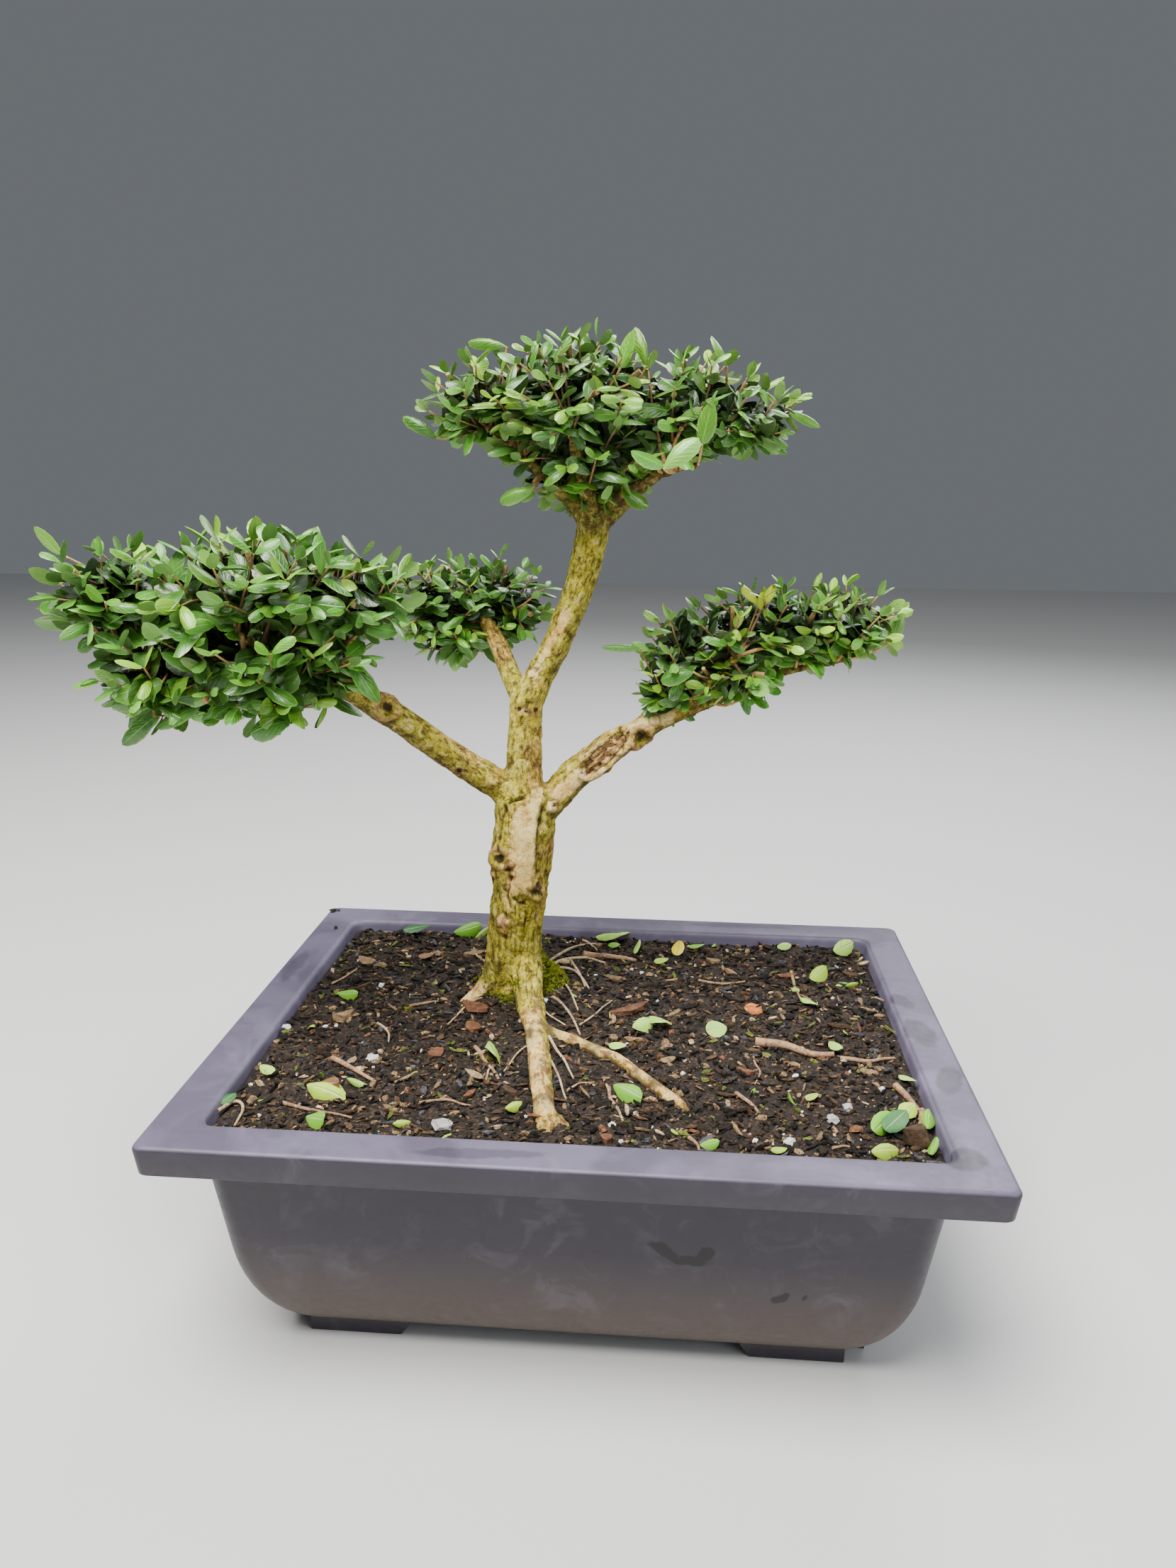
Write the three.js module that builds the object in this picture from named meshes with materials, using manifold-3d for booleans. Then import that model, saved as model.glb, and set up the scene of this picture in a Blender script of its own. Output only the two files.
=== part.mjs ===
// Honeysuckle bonsai in a rectangular plastic training pot.
// Millimetres, +Z up. The plant is laid out round the middle of the pot's footprint, with +X
// to the right and -Y to the front. Last of all the model is moved so that the origin lies
// under the middle of its bounding box, on the surface that the pot stands on.

import * as THREE from 'three';
import { mergeVertices } from 'three/addons/utils/BufferGeometryUtils.js';
import Module from 'manifold-3d';

const wasm = await Module();
wasm.setup();

// Driving dimensions of the pot. Insets are measured inwards from the rim's outer edge.
const RIM_HALF_X = 152;
const RIM_HALF_Y = 123;
const POT_HEIGHT = 103;
const RIM_WIDTH = 16;
const RIM_PLATE = 3;
const RIM_EDGE_RADIUS = 2;
const RIM_CORNER_RADIUS = 4;
const SKIRT_HEIGHT = 11.6;
const SKIRT_THICKNESS = 2.6;
const SKIRT_TAPER = 1.1;
const WALL = 3;
const NECK_INSET = 16.7;
const NECK_INNER_INSET = 18.6;
const WALL_DRAFT = 0.124;
const BODY_CORNER_RADIUS = 8;
const CORNER_GROWTH = 0.25;
const INNER_SHARPER = 2;
const HEEL_TOP = 46.3;
const HEEL_REACH = 18.2;
const HEEL_STEPS = 3;
const FLOOR_UNDERSIDE = 5.7;
const FOOT_TOP = 7.6;
const FOOT_SLOPE = 5.3;
const LONG_FOOT = { from: 68.3, to: 105, face: 81.5, thickness: 9 };
const SIDE_FOOT = { from: 44, to: 73, face: 114, thickness: 7 };
const DRAIN_RADIUS = 5;
const DRAIN_PITCH_X = 62;
const DRAIN_PITCH_Y = 64;

// Driving dimensions of the soil
const SOIL_LEVEL = 96.6;
const MOUND_HEIGHT = 4.6;
const MOUND_REACH = 46;
const SOIL_RELIEF = 0.55;

// Gap kept between neighbouring pieces
const CLEARANCE = 0.35;

// Where the trunk stands on the pot's plan
const TRUNK_X = -39;
const TRUNK_Y = 33;

// A pair of leaves on a shoot tip, how its shoot leans and how deep it is sunk, and the least
// and most volume of it that may lie inside the core
const LEAF_LENGTH = { least: 14, most: 22 };
const LEAF_WIDTH_RATIO = 0.48;
const LEAF_THICKNESS = 0.8;
const LEAF_RISE = 0.22;
const LEAF_DROOP = { least: -0.5, most: 3.5 };
const LEAF_ANGLE = THREE.MathUtils.degToRad(50);
const SHOOT_LENGTH = 6.5;
const SHOOT_NOTCH = 2;
const SHOOT_HALF_WIDTH = 0.8;
const SHOOT_LEAN = { least: 0.6, most: 1.06 };
const SHOOT_DEPTH = 2.2;
const BURIED = { least: 1.5, most: 7 };

// How far a shoot's lean may turn from the pad's middle, and its face about its own line
const LEAN_TURN = 1.7;
const FACE_TURN = 0.6;
const FACE_LIFT = 0.3;

// Least distance between two shoots, how far the leaf tips stand out of a pad's core, and the
// least share of a small lobe that its core takes
const SHOOT_SPACING = 7.5;
const FOLIAGE_REACH = 13;
const LEAST_CORE = 0.62;
const TRIES_PER_PAIR = 60;

const COLOURS = {
  pot: { color: 0x55505f, roughness: 0.45, metalness: 0 },
  soil: { color: 0x2b2019, roughness: 1, metalness: 0 },
  wood: { color: 0xb89a62, roughness: 0.85, metalness: 0 },
  leaf: { color: 0x3f7a33, roughness: 0.4, metalness: 0 },
};

const { lerp } = THREE.MathUtils;
const FULL_TURN = 2 * Math.PI;
const UP = new THREE.Vector3(0, 0, 1);

function vector([x, y, z]) {
  return new THREE.Vector3(x, y, z);
}

function polar(angle, z = 0) {
  return new THREE.Vector3(Math.cos(angle), Math.sin(angle), z);
}

function seededRandom(seed) {
  let state = seed;
  return () => {
    state = (state * 1664525 + 1013904223) % 4294967296;
    return state / 4294967296;
  };
}

// Solids from three.js geometry, and back

function solidOf(geometry) {
  const bare = geometry.clone();
  bare.deleteAttribute('normal');
  bare.deleteAttribute('uv');
  const merged = mergeVertices(bare);
  const mesh = new wasm.Mesh({
    numProp: 3,
    vertProperties: new Float32Array(merged.attributes.position.array),
    triVerts: new Uint32Array(merged.index.array),
  });
  return new wasm.Manifold(mesh);
}

function geometryOf(solid) {
  const mesh = solid.getMesh();
  const geometry = new THREE.BufferGeometry();
  geometry.setAttribute('position', new THREE.BufferAttribute(mesh.vertProperties, 3));
  geometry.setIndex(new THREE.BufferAttribute(mesh.triVerts, 1));
  geometry.computeVertexNormals();
  return geometry;
}

function fuse(solids) {
  return wasm.Manifold.union(solids);
}

// Cutting can leave loose scraps, which are dropped
function largestPiece(solid) {
  return solid.decompose().reduce((best, piece) => (piece.volume() > best.volume() ? piece : best));
}

// A closed skin over rings that all have the same number of points, with a fan at each end
function loftGeometry(rings) {
  const count = rings[0].length;
  const points = rings.flat();
  const triangles = [];
  for (let ring = 0; ring < rings.length - 1; ring++) {
    for (let i = 0; i < count; i++) {
      const a = ring * count + i;
      const b = ring * count + ((i + 1) % count);
      triangles.push(a, b, b + count, a, b + count, a + count);
    }
  }
  const lastStart = (rings.length - 1) * count;
  const middleOf = (ring) => ring.reduce((sum, p) => sum.add(p), new THREE.Vector3())
    .divideScalar(count);
  const firstMiddle = points.push(middleOf(rings[0])) - 1;
  const lastMiddle = points.push(middleOf(rings.at(-1))) - 1;
  for (let i = 0; i < count; i++) {
    const next = (i + 1) % count;
    triangles.push(firstMiddle, next, i);
    triangles.push(lastMiddle, lastStart + i, lastStart + next);
  }
  const geometry = new THREE.BufferGeometry().setFromPoints(points);
  geometry.setIndex(triangles);
  return geometry;
}

// Pot, lofted from rounded rectangles

// A ring round a rectangle with rounded corners, whose long and short sides may be divided
function roundedRectangle(halfX, halfY, radius, z, cornerSteps, longSteps = 1, shortSteps = 1) {
  const signs = [[1, 1], [-1, 1], [-1, -1], [1, -1]];
  const centres = signs.map(([signX, signY]) => (
    new THREE.Vector3(signX * (halfX - radius), signY * (halfY - radius), z)));
  const quarter = FULL_TURN / 4;
  const pointAt = (corner, angle) => (
    centres[corner % 4].clone().addScaledVector(polar(angle), radius));
  const ring = [];
  for (let corner = 0; corner < 4; corner++) {
    for (let step = 0; step <= cornerSteps; step++) {
      ring.push(pointAt(corner, (corner + step / cornerSteps) * quarter));
    }
    const start = ring.at(-1);
    const end = pointAt(corner + 1, (corner + 1) * quarter);
    const steps = corner % 2 === 0 ? longSteps : shortSteps;
    for (let step = 1; step < steps; step++) {
      ring.push(start.clone().lerp(end, step / steps));
    }
  }
  return ring;
}

// How far the body's outer face stands in from the rim's edge at height z
function bodyInset(z) {
  const drafted = NECK_INSET + WALL_DRAFT * (POT_HEIGHT - SKIRT_HEIGHT - z);
  const down = Math.max(0, (HEEL_TOP - z) / (HEEL_TOP - FLOOR_UNDERSIDE));
  return drafted + HEEL_REACH * (1 - Math.sqrt(Math.max(0, 1 - down * down)));
}

// Heights up the heel's curve, close together at the floor
function heelHeights(steps) {
  return Array.from({ length: steps + 1 }, (_, i) => {
    const angle = (i / steps) * FULL_TURN / 4;
    return HEEL_TOP - (HEEL_TOP - FLOOR_UNDERSIDE) * Math.cos(angle);
  });
}

function bodyCornerRadius(z) {
  return BODY_CORNER_RADIUS + CORNER_GROWTH * (bodyInset(z) - NECK_INSET);
}

// The body's inner face beside height z of its outer face: inset, height, corner radius
function innerFace(z) {
  const climb = (z - FLOOR_UNDERSIDE) / (HEEL_TOP - FLOOR_UNDERSIDE);
  const height = lerp(FLOOR_UNDERSIDE + WALL, HEEL_TOP, climb);
  return [bodyInset(z) + WALL, height, bodyCornerRadius(z) - INNER_SHARPER];
}

function potRing(inset, z, radius) {
  return roundedRectangle(RIM_HALF_X - inset, RIM_HALF_Y - inset, radius, z, 4);
}

function potShell() {
  const skirtFoot = POT_HEIGHT - SKIRT_HEIGHT;
  const plateUnderside = POT_HEIGHT - RIM_PLATE;
  const innerRadius = BODY_CORNER_RADIUS - INNER_SHARPER;
  const heel = heelHeights(2 * HEEL_STEPS);
  const outside = heel.map((z) => potRing(bodyInset(z), z, bodyCornerRadius(z)));
  const rim = [
    [bodyInset(plateUnderside), plateUnderside, BODY_CORNER_RADIUS],
    [SKIRT_THICKNESS, plateUnderside, RIM_CORNER_RADIUS],
    [SKIRT_THICKNESS + SKIRT_TAPER, skirtFoot, RIM_CORNER_RADIUS],
    [SKIRT_TAPER, skirtFoot, RIM_CORNER_RADIUS],
    [0, POT_HEIGHT - RIM_EDGE_RADIUS, RIM_CORNER_RADIUS],
    [0.3 * RIM_EDGE_RADIUS, POT_HEIGHT - 0.3 * RIM_EDGE_RADIUS, RIM_CORNER_RADIUS],
    [RIM_EDGE_RADIUS, POT_HEIGHT, RIM_CORNER_RADIUS],
  ].map(([inset, z, radius]) => potRing(inset, z, radius));
  const lip = [0, 0.33, 0.67, 1].map((share) => {
    const angle = share * FULL_TURN / 4;
    const inset = lerp(RIM_WIDTH, NECK_INNER_INSET, Math.sin(angle));
    return potRing(inset, lerp(plateUnderside, POT_HEIGHT, Math.cos(angle)), innerRadius);
  });
  const inside = heel.reverse().map((z) => potRing(...innerFace(z)));
  return solidOf(loftGeometry([...outside, ...rim, ...lip, ...inside]));
}

// A strip under the heel whose inner end slopes
function footStrip({ from, to, thickness }) {
  const outline = new THREE.Shape([
    new THREE.Vector2(from, 0),
    new THREE.Vector2(to, 0),
    new THREE.Vector2(to, FOOT_TOP),
    new THREE.Vector2(from - FOOT_SLOPE, FOOT_TOP),
  ]);
  const strip = new THREE.ExtrudeGeometry(outline, { depth: thickness, bevelEnabled: false });
  return strip.rotateX(Math.PI / 2);
}

function potFeet() {
  const feet = [];
  for (const signX of [1, -1]) {
    for (const signY of [1, -1]) {
      const long = footStrip(LONG_FOOT).translate(0, LONG_FOOT.face, 0);
      const side = footStrip(SIDE_FOOT).rotateZ(Math.PI / 2).translate(SIDE_FOOT.face, 0, 0);
      side.translate(-SIDE_FOOT.thickness, 0, 0);
      for (const strip of [long, side]) {
        feet.push(solidOf(strip).scale([signX, signY, 1]));
      }
    }
  }
  return feet;
}

function potDrains() {
  const holes = [];
  for (const column of [-1, 0, 1]) {
    for (const row of [-0.5, 0.5]) {
      const hole = new THREE.CylinderGeometry(DRAIN_RADIUS, DRAIN_RADIUS, 4 * WALL, 10);
      hole.rotateX(Math.PI / 2);
      hole.translate(column * DRAIN_PITCH_X, row * DRAIN_PITCH_Y, FLOOR_UNDERSIDE);
      holes.push(solidOf(hole));
    }
  }
  return fuse(holes);
}

function makePot() {
  return fuse([potShell(), ...potFeet()]).subtract(potDrains());
}

// Wood. A limb is a list of points on its middle line, each with the limb's radius there. Its
// section waves in and out by the share given as its flute.

// Three broad and five narrower ridges, which turn a little as they climb
function fluteWave(angle, z) {
  return Math.sin(3 * angle + 0.035 * z) + 0.7 * Math.sin(5 * angle - 0.06 * z);
}

function limbSolid({ path, sides = 5, flute = 0 }, grow) {
  const curve = new THREE.CatmullRomCurve3(path.map(vector), false, 'centripetal');
  const last = path.length - 1;
  const across = new THREE.Vector3(0, 1, 0);
  const rings = path.map(([x, y, z, radius], index) => {
    const tangent = curve.getTangent(index / last);
    const centre = new THREE.Vector3(x, y, z);
    if (index === 0 || index === last) {
      centre.addScaledVector(tangent, index === 0 ? -grow : grow);
    }
    across.addScaledVector(tangent, -across.dot(tangent)).normalize();
    const other = new THREE.Vector3().crossVectors(tangent, across);
    return Array.from({ length: sides }, (_, side) => {
      const angle = (side / sides) * FULL_TURN;
      const reach = radius * (1 + flute * fluteWave(angle, z)) + grow;
      return centre.clone()
        .addScaledVector(across, reach * Math.cos(angle))
        .addScaledVector(other, reach * Math.sin(angle));
    });
  });
  return solidOf(loftGeometry(rings));
}

function knotSolid({ at, size }, grow) {
  const knot = new THREE.SphereGeometry(1, 7, 5);
  knot.scale(...size.map((half) => half + grow));
  knot.translate(...at);
  return solidOf(knot);
}

const trunk = {
  sides: 12,
  flute: 0.05,
  path: [
    [TRUNK_X, TRUNK_Y, 66, 8], [TRUNK_X, TRUNK_Y, 84, 14.5], [TRUNK_X, TRUNK_Y, 96, 17],
    [-38.6, 32.5, 103, 14.8], [-38.2, 32, 112, 13], [-37.8, 31, 128, 12.2],
    [-36.2, 30, 148, 12.5], [-34.7, 29, 166, 13.6], [-33.7, 29, 179, 14],
    [-33.7, 29, 191, 12.6], [-33.5, 29, 199, 9.5], [-33.4, 29.3, 204, 7],
  ],
};

const leader = {
  sides: 9,
  flute: 0.04,
  path: [
    [-34, 29, 186, 8], [-33.4, 29, 201, 8.4], [-33.3, 30, 214, 7.8], [-32.8, 30, 226, 7.4],
    [-32.2, 30, 236, 7.7], [-26.8, 30, 247, 6.5], [-19.7, 29, 259.5, 6.1],
    [-14.4, 28, 273, 6.2], [-9.6, 27, 284, 6.3], [-6.1, 27, 297.4, 6.3],
    [-3.8, 27, 309, 6.9], [-2.2, 27, 318, 6.6], [-1.4, 27, 327, 4.6], [-2, 26, 342, 2.8],
  ],
};

const leftLimb = {
  sides: 8,
  flute: 0.04,
  path: [
    [-36, 28.5, 190, 7], [-44.7, 28, 198.8, 7.1], [-55.8, 23, 207, 6.7],
    [-66.4, 17, 215.7, 6.3], [-77, 10, 225.6, 6.2], [-87.3, 3, 235, 6.1],
    [-99, -5, 244.6, 5.2], [-114, -13, 252, 4.4], [-130, -20, 257.5, 3.8],
    [-149, -26, 260.5, 3.2], [-168, -29, 258.5, 2.4], [-184, -30.5, 256, 1.8],
  ],
};

const rightLimb = {
  sides: 8,
  flute: 0.04,
  path: [
    [-32, 30, 180, 8], [-23.4, 31, 189.2, 7.3], [-10.7, 34, 203.6, 7.2], [7.6, 37, 217, 6.8],
    [18, 38.5, 223, 5.2], [29.6, 40, 228.5, 4], [41, 41.5, 233, 3.2], [52.5, 43, 237.5, 2.7],
    [73.7, 44.5, 248, 2.1], [90, 44, 252, 1.8], [105.5, 42, 255.5, 1.4],
  ],
};

const backLimb = {
  sides: 7,
  path: [
    [-33, 30, 231, 6], [-35.2, 31.5, 238, 4.8], [-41.1, 38, 248.5, 4.4],
    [-46.3, 46, 257.7, 4.1], [-52.3, 54, 265.3, 3.6], [-58, 61, 270, 2.8], [-64, 66, 274, 2],
  ],
};

// Branches that divide off inside the pads
const branches = [
  { path: [[-3, 27, 310, 5], [-12, 24, 322, 4], [-28, 20, 336, 3], [-46, 18, 350, 2.2]] },
  { path: [[-2, 27, 312, 5], [10, 28, 322, 3.8], [28, 30, 337, 2.8], [50, 28, 350, 2]] },
  { path: [[-2, 28, 312, 4.6], [0, 42, 325, 3.2], [4, 56, 342, 2.2]] },
  { path: [[-3, 26, 314, 4.2], [-6, 10, 327, 3], [-10, -4, 344, 2]] },
  { path: [[-1, 25, 316, 2.8], [10, 18, 326, 2], [25, 14, 332, 1.7], [39, 12, 336, 1.5]] },
  { path: [[-97, -4, 243, 4], [-108, 4, 256, 3], [-122, 12, 270, 2.2]] },
  { path: [[-112, -12, 251, 3.4], [-124, -26, 262, 2.6], [-134, -38, 270, 2]] },
  { path: [[-140, -23, 259, 2.8], [-156, -12, 272, 2.2], [-172, -4, 280, 1.8]] },
  { path: [[16, 38, 222, 3.2], [26, 50, 236, 2.4], [36, 60, 250, 1.8]] },
  { path: [[38, 41, 232, 2.4], [48, 30, 246, 1.8], [58, 24, 258, 1.5]] },
];

// Roots that show on the soil and dive into it at their ends
const roots = [
  {
    sides: 8,
    flute: 0.05,
    path: [
      [-33, 27, 116, 8], [-30.5, 17, 107, 6.8], [-28, 8, 102, 5.8], [-22.9, -14, 99.6, 5.2],
      [-18.2, -40, 98.8, 5], [-15, -60, 98.2, 4.8], [-12, -76, 97.2, 4.6],
      [-10.3, -86, 93.5, 3.6], [-9, -91, 87, 2.4],
    ],
  },
  { path: [[-13.5, -72, 97.2, 3.2], [-7, -79, 97, 2.8], [-2.6, -83, 95, 2.2], [1, -86, 89, 1.6]] },
  {
    path: [
      [-24, -6, 100, 3.6], [-14, -14.5, 99.4, 2.9], [-1.4, -22.1, 99, 2.7],
      [14, -33.5, 98.6, 2.6], [27.4, -52, 98.4, 2.7], [38.5, -64.5, 97.6, 2.6],
      [44, -71, 93, 1.8],
    ],
  },
  { path: [[-46, 28, 110, 5], [-54, 19.5, 101.5, 3.4], [-61, 12.5, 97.6, 2.6], [-66, 8, 91, 1.8]] },
  { path: [[-30, 40, 108, 4], [-19, 49, 101, 2.2], [-8, 56, 99, 1.6], [3, 63, 95, 1.3]] },
  { path: [[-27, 35, 106, 3], [-14, 38, 100.4, 1.8], [-5, 37, 99, 1.5], [3, 33, 94, 1.3]] },
  { path: [[-47, 42, 110, 5.4], [-58, 54, 101.5, 4], [-70, 66, 98.2, 3.2], [-80, 77, 91, 2.2]] },
];

// Healed cuts on the trunk, and the swollen wound on the right limb
const knots = [
  { at: [-43.4, 20, 167], size: [4.2, 3.6, 4.6] },
  { at: [-26.6, 21.6, 151.5], size: [4, 3.6, 5] },
  { at: [-42.6, 21.6, 134.7], size: [3.8, 3.4, 4.4] },
  { at: [-29, 24, 240], size: [3.6, 3.2, 3.6] },
  { at: [-2, 33, 209], size: [8.6, 5.4, 7.4] },
  { at: [5, 33.6, 216], size: [7.6, 5.2, 6.4] },
];

function woodSolid(grow) {
  const limbs = [trunk, leader, leftLimb, rightLimb, backLimb, ...branches, ...roots];
  return fuse([
    ...limbs.map((limb) => limbSolid(limb, grow)),
    ...knots.map((knot) => knotSolid(knot, grow)),
  ]);
}

// Soil, with plain holes where the wood goes in

function soilHeight(x, y) {
  const fromTrunk = Math.hypot(x - TRUNK_X, y - TRUNK_Y);
  const mound = MOUND_HEIGHT * Math.exp(-((fromTrunk / MOUND_REACH) ** 2));
  const ripple = Math.sin(0.19 * x + 1.3) * Math.cos(0.23 * y) + Math.sin(0.41 * x - 0.37 * y);
  return SOIL_LEVEL + mound + SOIL_RELIEF * ripple;
}

function soilRing(inset, z, radius) {
  const halfX = RIM_HALF_X - inset - CLEARANCE;
  const halfY = RIM_HALF_Y - inset - CLEARANCE;
  return roundedRectangle(halfX, halfY, radius, z, 2, 5, 4);
}

function makeSoil(fatWood) {
  const sides = heelHeights(HEEL_STEPS).map((z) => {
    const [inset, height, radius] = innerFace(z);
    return soilRing(inset, height + (z === FLOOR_UNDERSIDE ? CLEARANCE : 0), radius);
  });
  const [heelInset, heelTop] = innerFace(HEEL_TOP);
  const climb = (SOIL_LEVEL - heelTop) / (POT_HEIGHT - RIM_PLATE - heelTop);
  const edgeInset = lerp(heelInset, NECK_INNER_INSET, climb);
  const ringCount = 7;
  const top = [];
  for (let ring = 0; ring < ringCount; ring++) {
    const inward = ring / ringCount;
    const radius = Math.max(0.5, (BODY_CORNER_RADIUS - INNER_SHARPER) * (1 - inward));
    const points = soilRing(lerp(edgeInset, RIM_HALF_Y, inward), 0, radius);
    top.push(points.map((p) => p.setZ(soilHeight(p.x, p.y))));
  }
  return largestPiece(solidOf(loftGeometry([...sides, ...top])).subtract(fatWood));
}

// Foliage. A pad is made of lobes, each an ellipsoid: its middle and its three half sizes out
// to the leaf tips. Leaf pairs stand out of a smaller core.

const pads = {
  foliage_top: {
    seed: 11,
    pairs: 53,
    leafScale: 1,
    lobes: [
      [[-10.9, 25, 360], [47, 46, 29]],
      [[-47, 25, 361], [27, 32, 18]],
      [[35.2, 25, 358.7], [34.9, 38, 22.2]],
      [[60, 23, 355.6], [19, 22, 11]],
      [[-9.4, 28, 337], [30.8, 30, 19.5]],
    ],
  },
  foliage_left: {
    seed: 23,
    pairs: 56,
    leafScale: 1.1,
    lobes: [
      [[-133.2, -15, 288.3], [52.8, 44, 24.9]],
      [[-190, -18, 281.4], [27, 30, 22]],
      [[-132.3, -22, 259.7], [49.7, 38, 26.4]],
      [[-172.9, -25, 256.1], [24.9, 26, 21.8]],
    ],
  },
  foliage_back: {
    seed: 37,
    pairs: 18,
    leafScale: 0.85,
    lobes: [
      [[-49.2, 72, 276.2], [25.5, 26, 20.1]],
      [[-73.2, 62, 267.7], [21.7, 24, 21.7]],
    ],
  },
  foliage_right: {
    seed: 53,
    pairs: 31,
    leafScale: 0.92,
    lobes: [
      [[79, 45, 270.5], [35, 30, 17.8]],
      [[56, 43, 265], [28, 28, 19]],
      [[38, 42, 259], [24, 26, 20]],
      [[31, 42, 245], [17, 18, 15.5]],
      [[106, 45, 273], [20, 20, 14]],
    ],
  },
};

// Outline of the left leaf of a pair, from its rear edge round its tip to its front edge.
// The tip hangs by droop, and the parts behind it by a share of that.
function leafOutline(length, droop) {
  const width = length * LEAF_WIDTH_RATIO;
  const shape = [[0.36, 0.5, 0], [0.8, 0.34, 0.6], [1, 0, 1], [0.5, -0.48, 0.2]];
  return shape.map(([along, across, sag]) => {
    const u = along * length;
    const v = across * width;
    const x = SHOOT_LENGTH + u * Math.cos(LEAF_ANGLE) - v * Math.sin(LEAF_ANGLE);
    const y = u * Math.sin(LEAF_ANGLE) + v * Math.cos(LEAF_ANGLE);
    return new THREE.Vector3(x, y, LEAF_RISE * y - sag * droop);
  });
}

// A shoot tip with a pair of leaves, cut from one thin plate that is bent up at both sides.
// It starts at the origin, runs along +X and faces +Z.
function leafPairGeometry(random, scale) {
  const leafSide = (side) => {
    const length = scale * lerp(LEAF_LENGTH.least, LEAF_LENGTH.most, random());
    const droop = lerp(LEAF_DROOP.least, LEAF_DROOP.most, random());
    const start = new THREE.Vector3(0, SHOOT_HALF_WIDTH, 0);
    return [start, ...leafOutline(length, droop)].map((p) => p.setY(p.y * side));
  };
  const notch = new THREE.Vector3(SHOOT_LENGTH + SHOOT_NOTCH, 0, 0);
  const outline = [...leafSide(-1), notch, ...leafSide(1).reverse()];
  const count = outline.length;
  const triangles = THREE.ShapeUtils.triangulateShape(outline, []).flat();
  const underside = [...triangles].reverse().map((i) => i + count);
  const edge = outline.flatMap((_, i) => {
    const next = (i + 1) % count;
    return [i + count, next + count, next, i + count, next, i];
  });
  const upper = outline.map((p) => p.clone().addScaledVector(UP, LEAF_THICKNESS / 2));
  const lower = outline.map((p) => p.clone().addScaledVector(UP, -LEAF_THICKNESS / 2));
  const geometry = new THREE.BufferGeometry().setFromPoints([...upper, ...lower]);
  geometry.setIndex([...triangles, ...underside, ...edge]);
  return geometry;
}

function coreSize(size) {
  return size.map((half) => Math.max(half - FOLIAGE_REACH, LEAST_CORE * half));
}

function lobeCore([middle, size]) {
  const core = new THREE.SphereGeometry(1, 8, 5);
  core.scale(...coreSize(size));
  core.translate(...middle);
  return solidOf(core);
}

function isInsideCore(point, [middle, size]) {
  const offset = point.clone().sub(vector(middle));
  return offset.divide(vector(coreSize(size))).length() < 1;
}

// A shoot leans out over the core, mostly away from the pad's middle, and faces outwards and up
function leafPairSolid({ root, outward }, padMiddle, random, scale) {
  const turnedBy = (most) => lerp(-most, most, random());
  const away = root.clone().sub(padMiddle).setZ(0);
  const lean = away.addScaledVector(outward, -away.dot(outward)).normalize();
  lean.applyAxisAngle(outward, turnedBy(LEAN_TURN));
  const tilt = lerp(SHOOT_LEAN.least, SHOOT_LEAN.most, random());
  const along = outward.clone().multiplyScalar(Math.cos(tilt))
    .addScaledVector(lean, Math.sin(tilt));
  const face = outward.clone().addScaledVector(UP, FACE_LIFT);
  face.addScaledVector(along, -face.dot(along)).normalize();
  face.applyAxisAngle(along, turnedBy(FACE_TURN));
  const across = new THREE.Vector3().crossVectors(face, along);
  const pair = leafPairGeometry(random, scale);
  pair.applyMatrix4(new THREE.Matrix4().makeBasis(along, across, face));
  pair.translate(...root.clone().addScaledVector(outward, -SHOOT_DEPTH).toArray());
  return solidOf(pair);
}

// A place drawn at random on the core of a lobe, evenly over its surface
function corePlace([middle, size], random) {
  const core = vector(coreSize(size));
  const flattest = Math.min(core.x, core.y, core.z);
  for (;;) {
    const height = lerp(-1, 1, random());
    const onSphere = polar(FULL_TURN * random()).multiplyScalar(Math.sqrt(1 - height * height));
    onSphere.z = height;
    const gradient = onSphere.clone().divide(core);
    if (random() < gradient.length() * flattest) {
      return { root: onSphere.multiply(core).add(vector(middle)), outward: gradient.normalize() };
    }
  }
}

// Leaf pairs are tried at random places. One that would cross an earlier one or the wood, or
// whose leaves would dip into the core, is left out.
function makeFoliage({ seed, leafScale, pairs, lobes }, fatWood) {
  const random = seededRandom(seed);
  const padMiddle = vector(lobes[0][0]);
  const reach = leafScale * (LEAF_LENGTH.most + SHOOT_LENGTH);
  const core = fuse(lobes.map(lobeCore));
  const placed = [];
  for (let i = 0; i < TRIES_PER_PAIR * pairs && placed.length < pairs; i++) {
    const lobe = lobes[i % lobes.length];
    const place = corePlace(lobe, random);
    const pair = leafPairSolid(place, padMiddle, random, leafScale);
    const gapTo = ({ root }) => root.distanceTo(place.root);
    const near = placed.filter((other) => gapTo(other) < 2 * reach);
    const covered = lobes.some((other) => other !== lobe && isInsideCore(place.root, other));
    const crowded = near.some((other) => gapTo(other) < SHOOT_SPACING);
    const crosses = (solid) => !solid.intersect(pair).isEmpty();
    if (covered || crowded || near.some((other) => crosses(other.pair)) || crosses(fatWood)) {
      continue;
    }
    const buried = core.intersect(pair).volume();
    if (buried > BURIED.least && buried < BURIED.most) {
      placed.push({ root: place.root, pair });
    }
  }
  return largestPiece(fuse([core, ...placed.map(({ pair }) => pair)]).subtract(fatWood));
}

// The model

const model = new THREE.Group();

function addPiece(name, solid, look) {
  const mesh = new THREE.Mesh(geometryOf(solid), new THREE.MeshStandardMaterial(look));
  mesh.name = name;
  model.add(mesh);
}

const fatWood = woodSolid(CLEARANCE);
addPiece('pot', makePot(), COLOURS.pot);
addPiece('soil', makeSoil(fatWood), COLOURS.soil);
addPiece('wood', woodSolid(0), COLOURS.wood);
for (const [name, pad] of Object.entries(pads)) {
  addPiece(name, makeFoliage(pad, fatWood), COLOURS.leaf);
}

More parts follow.
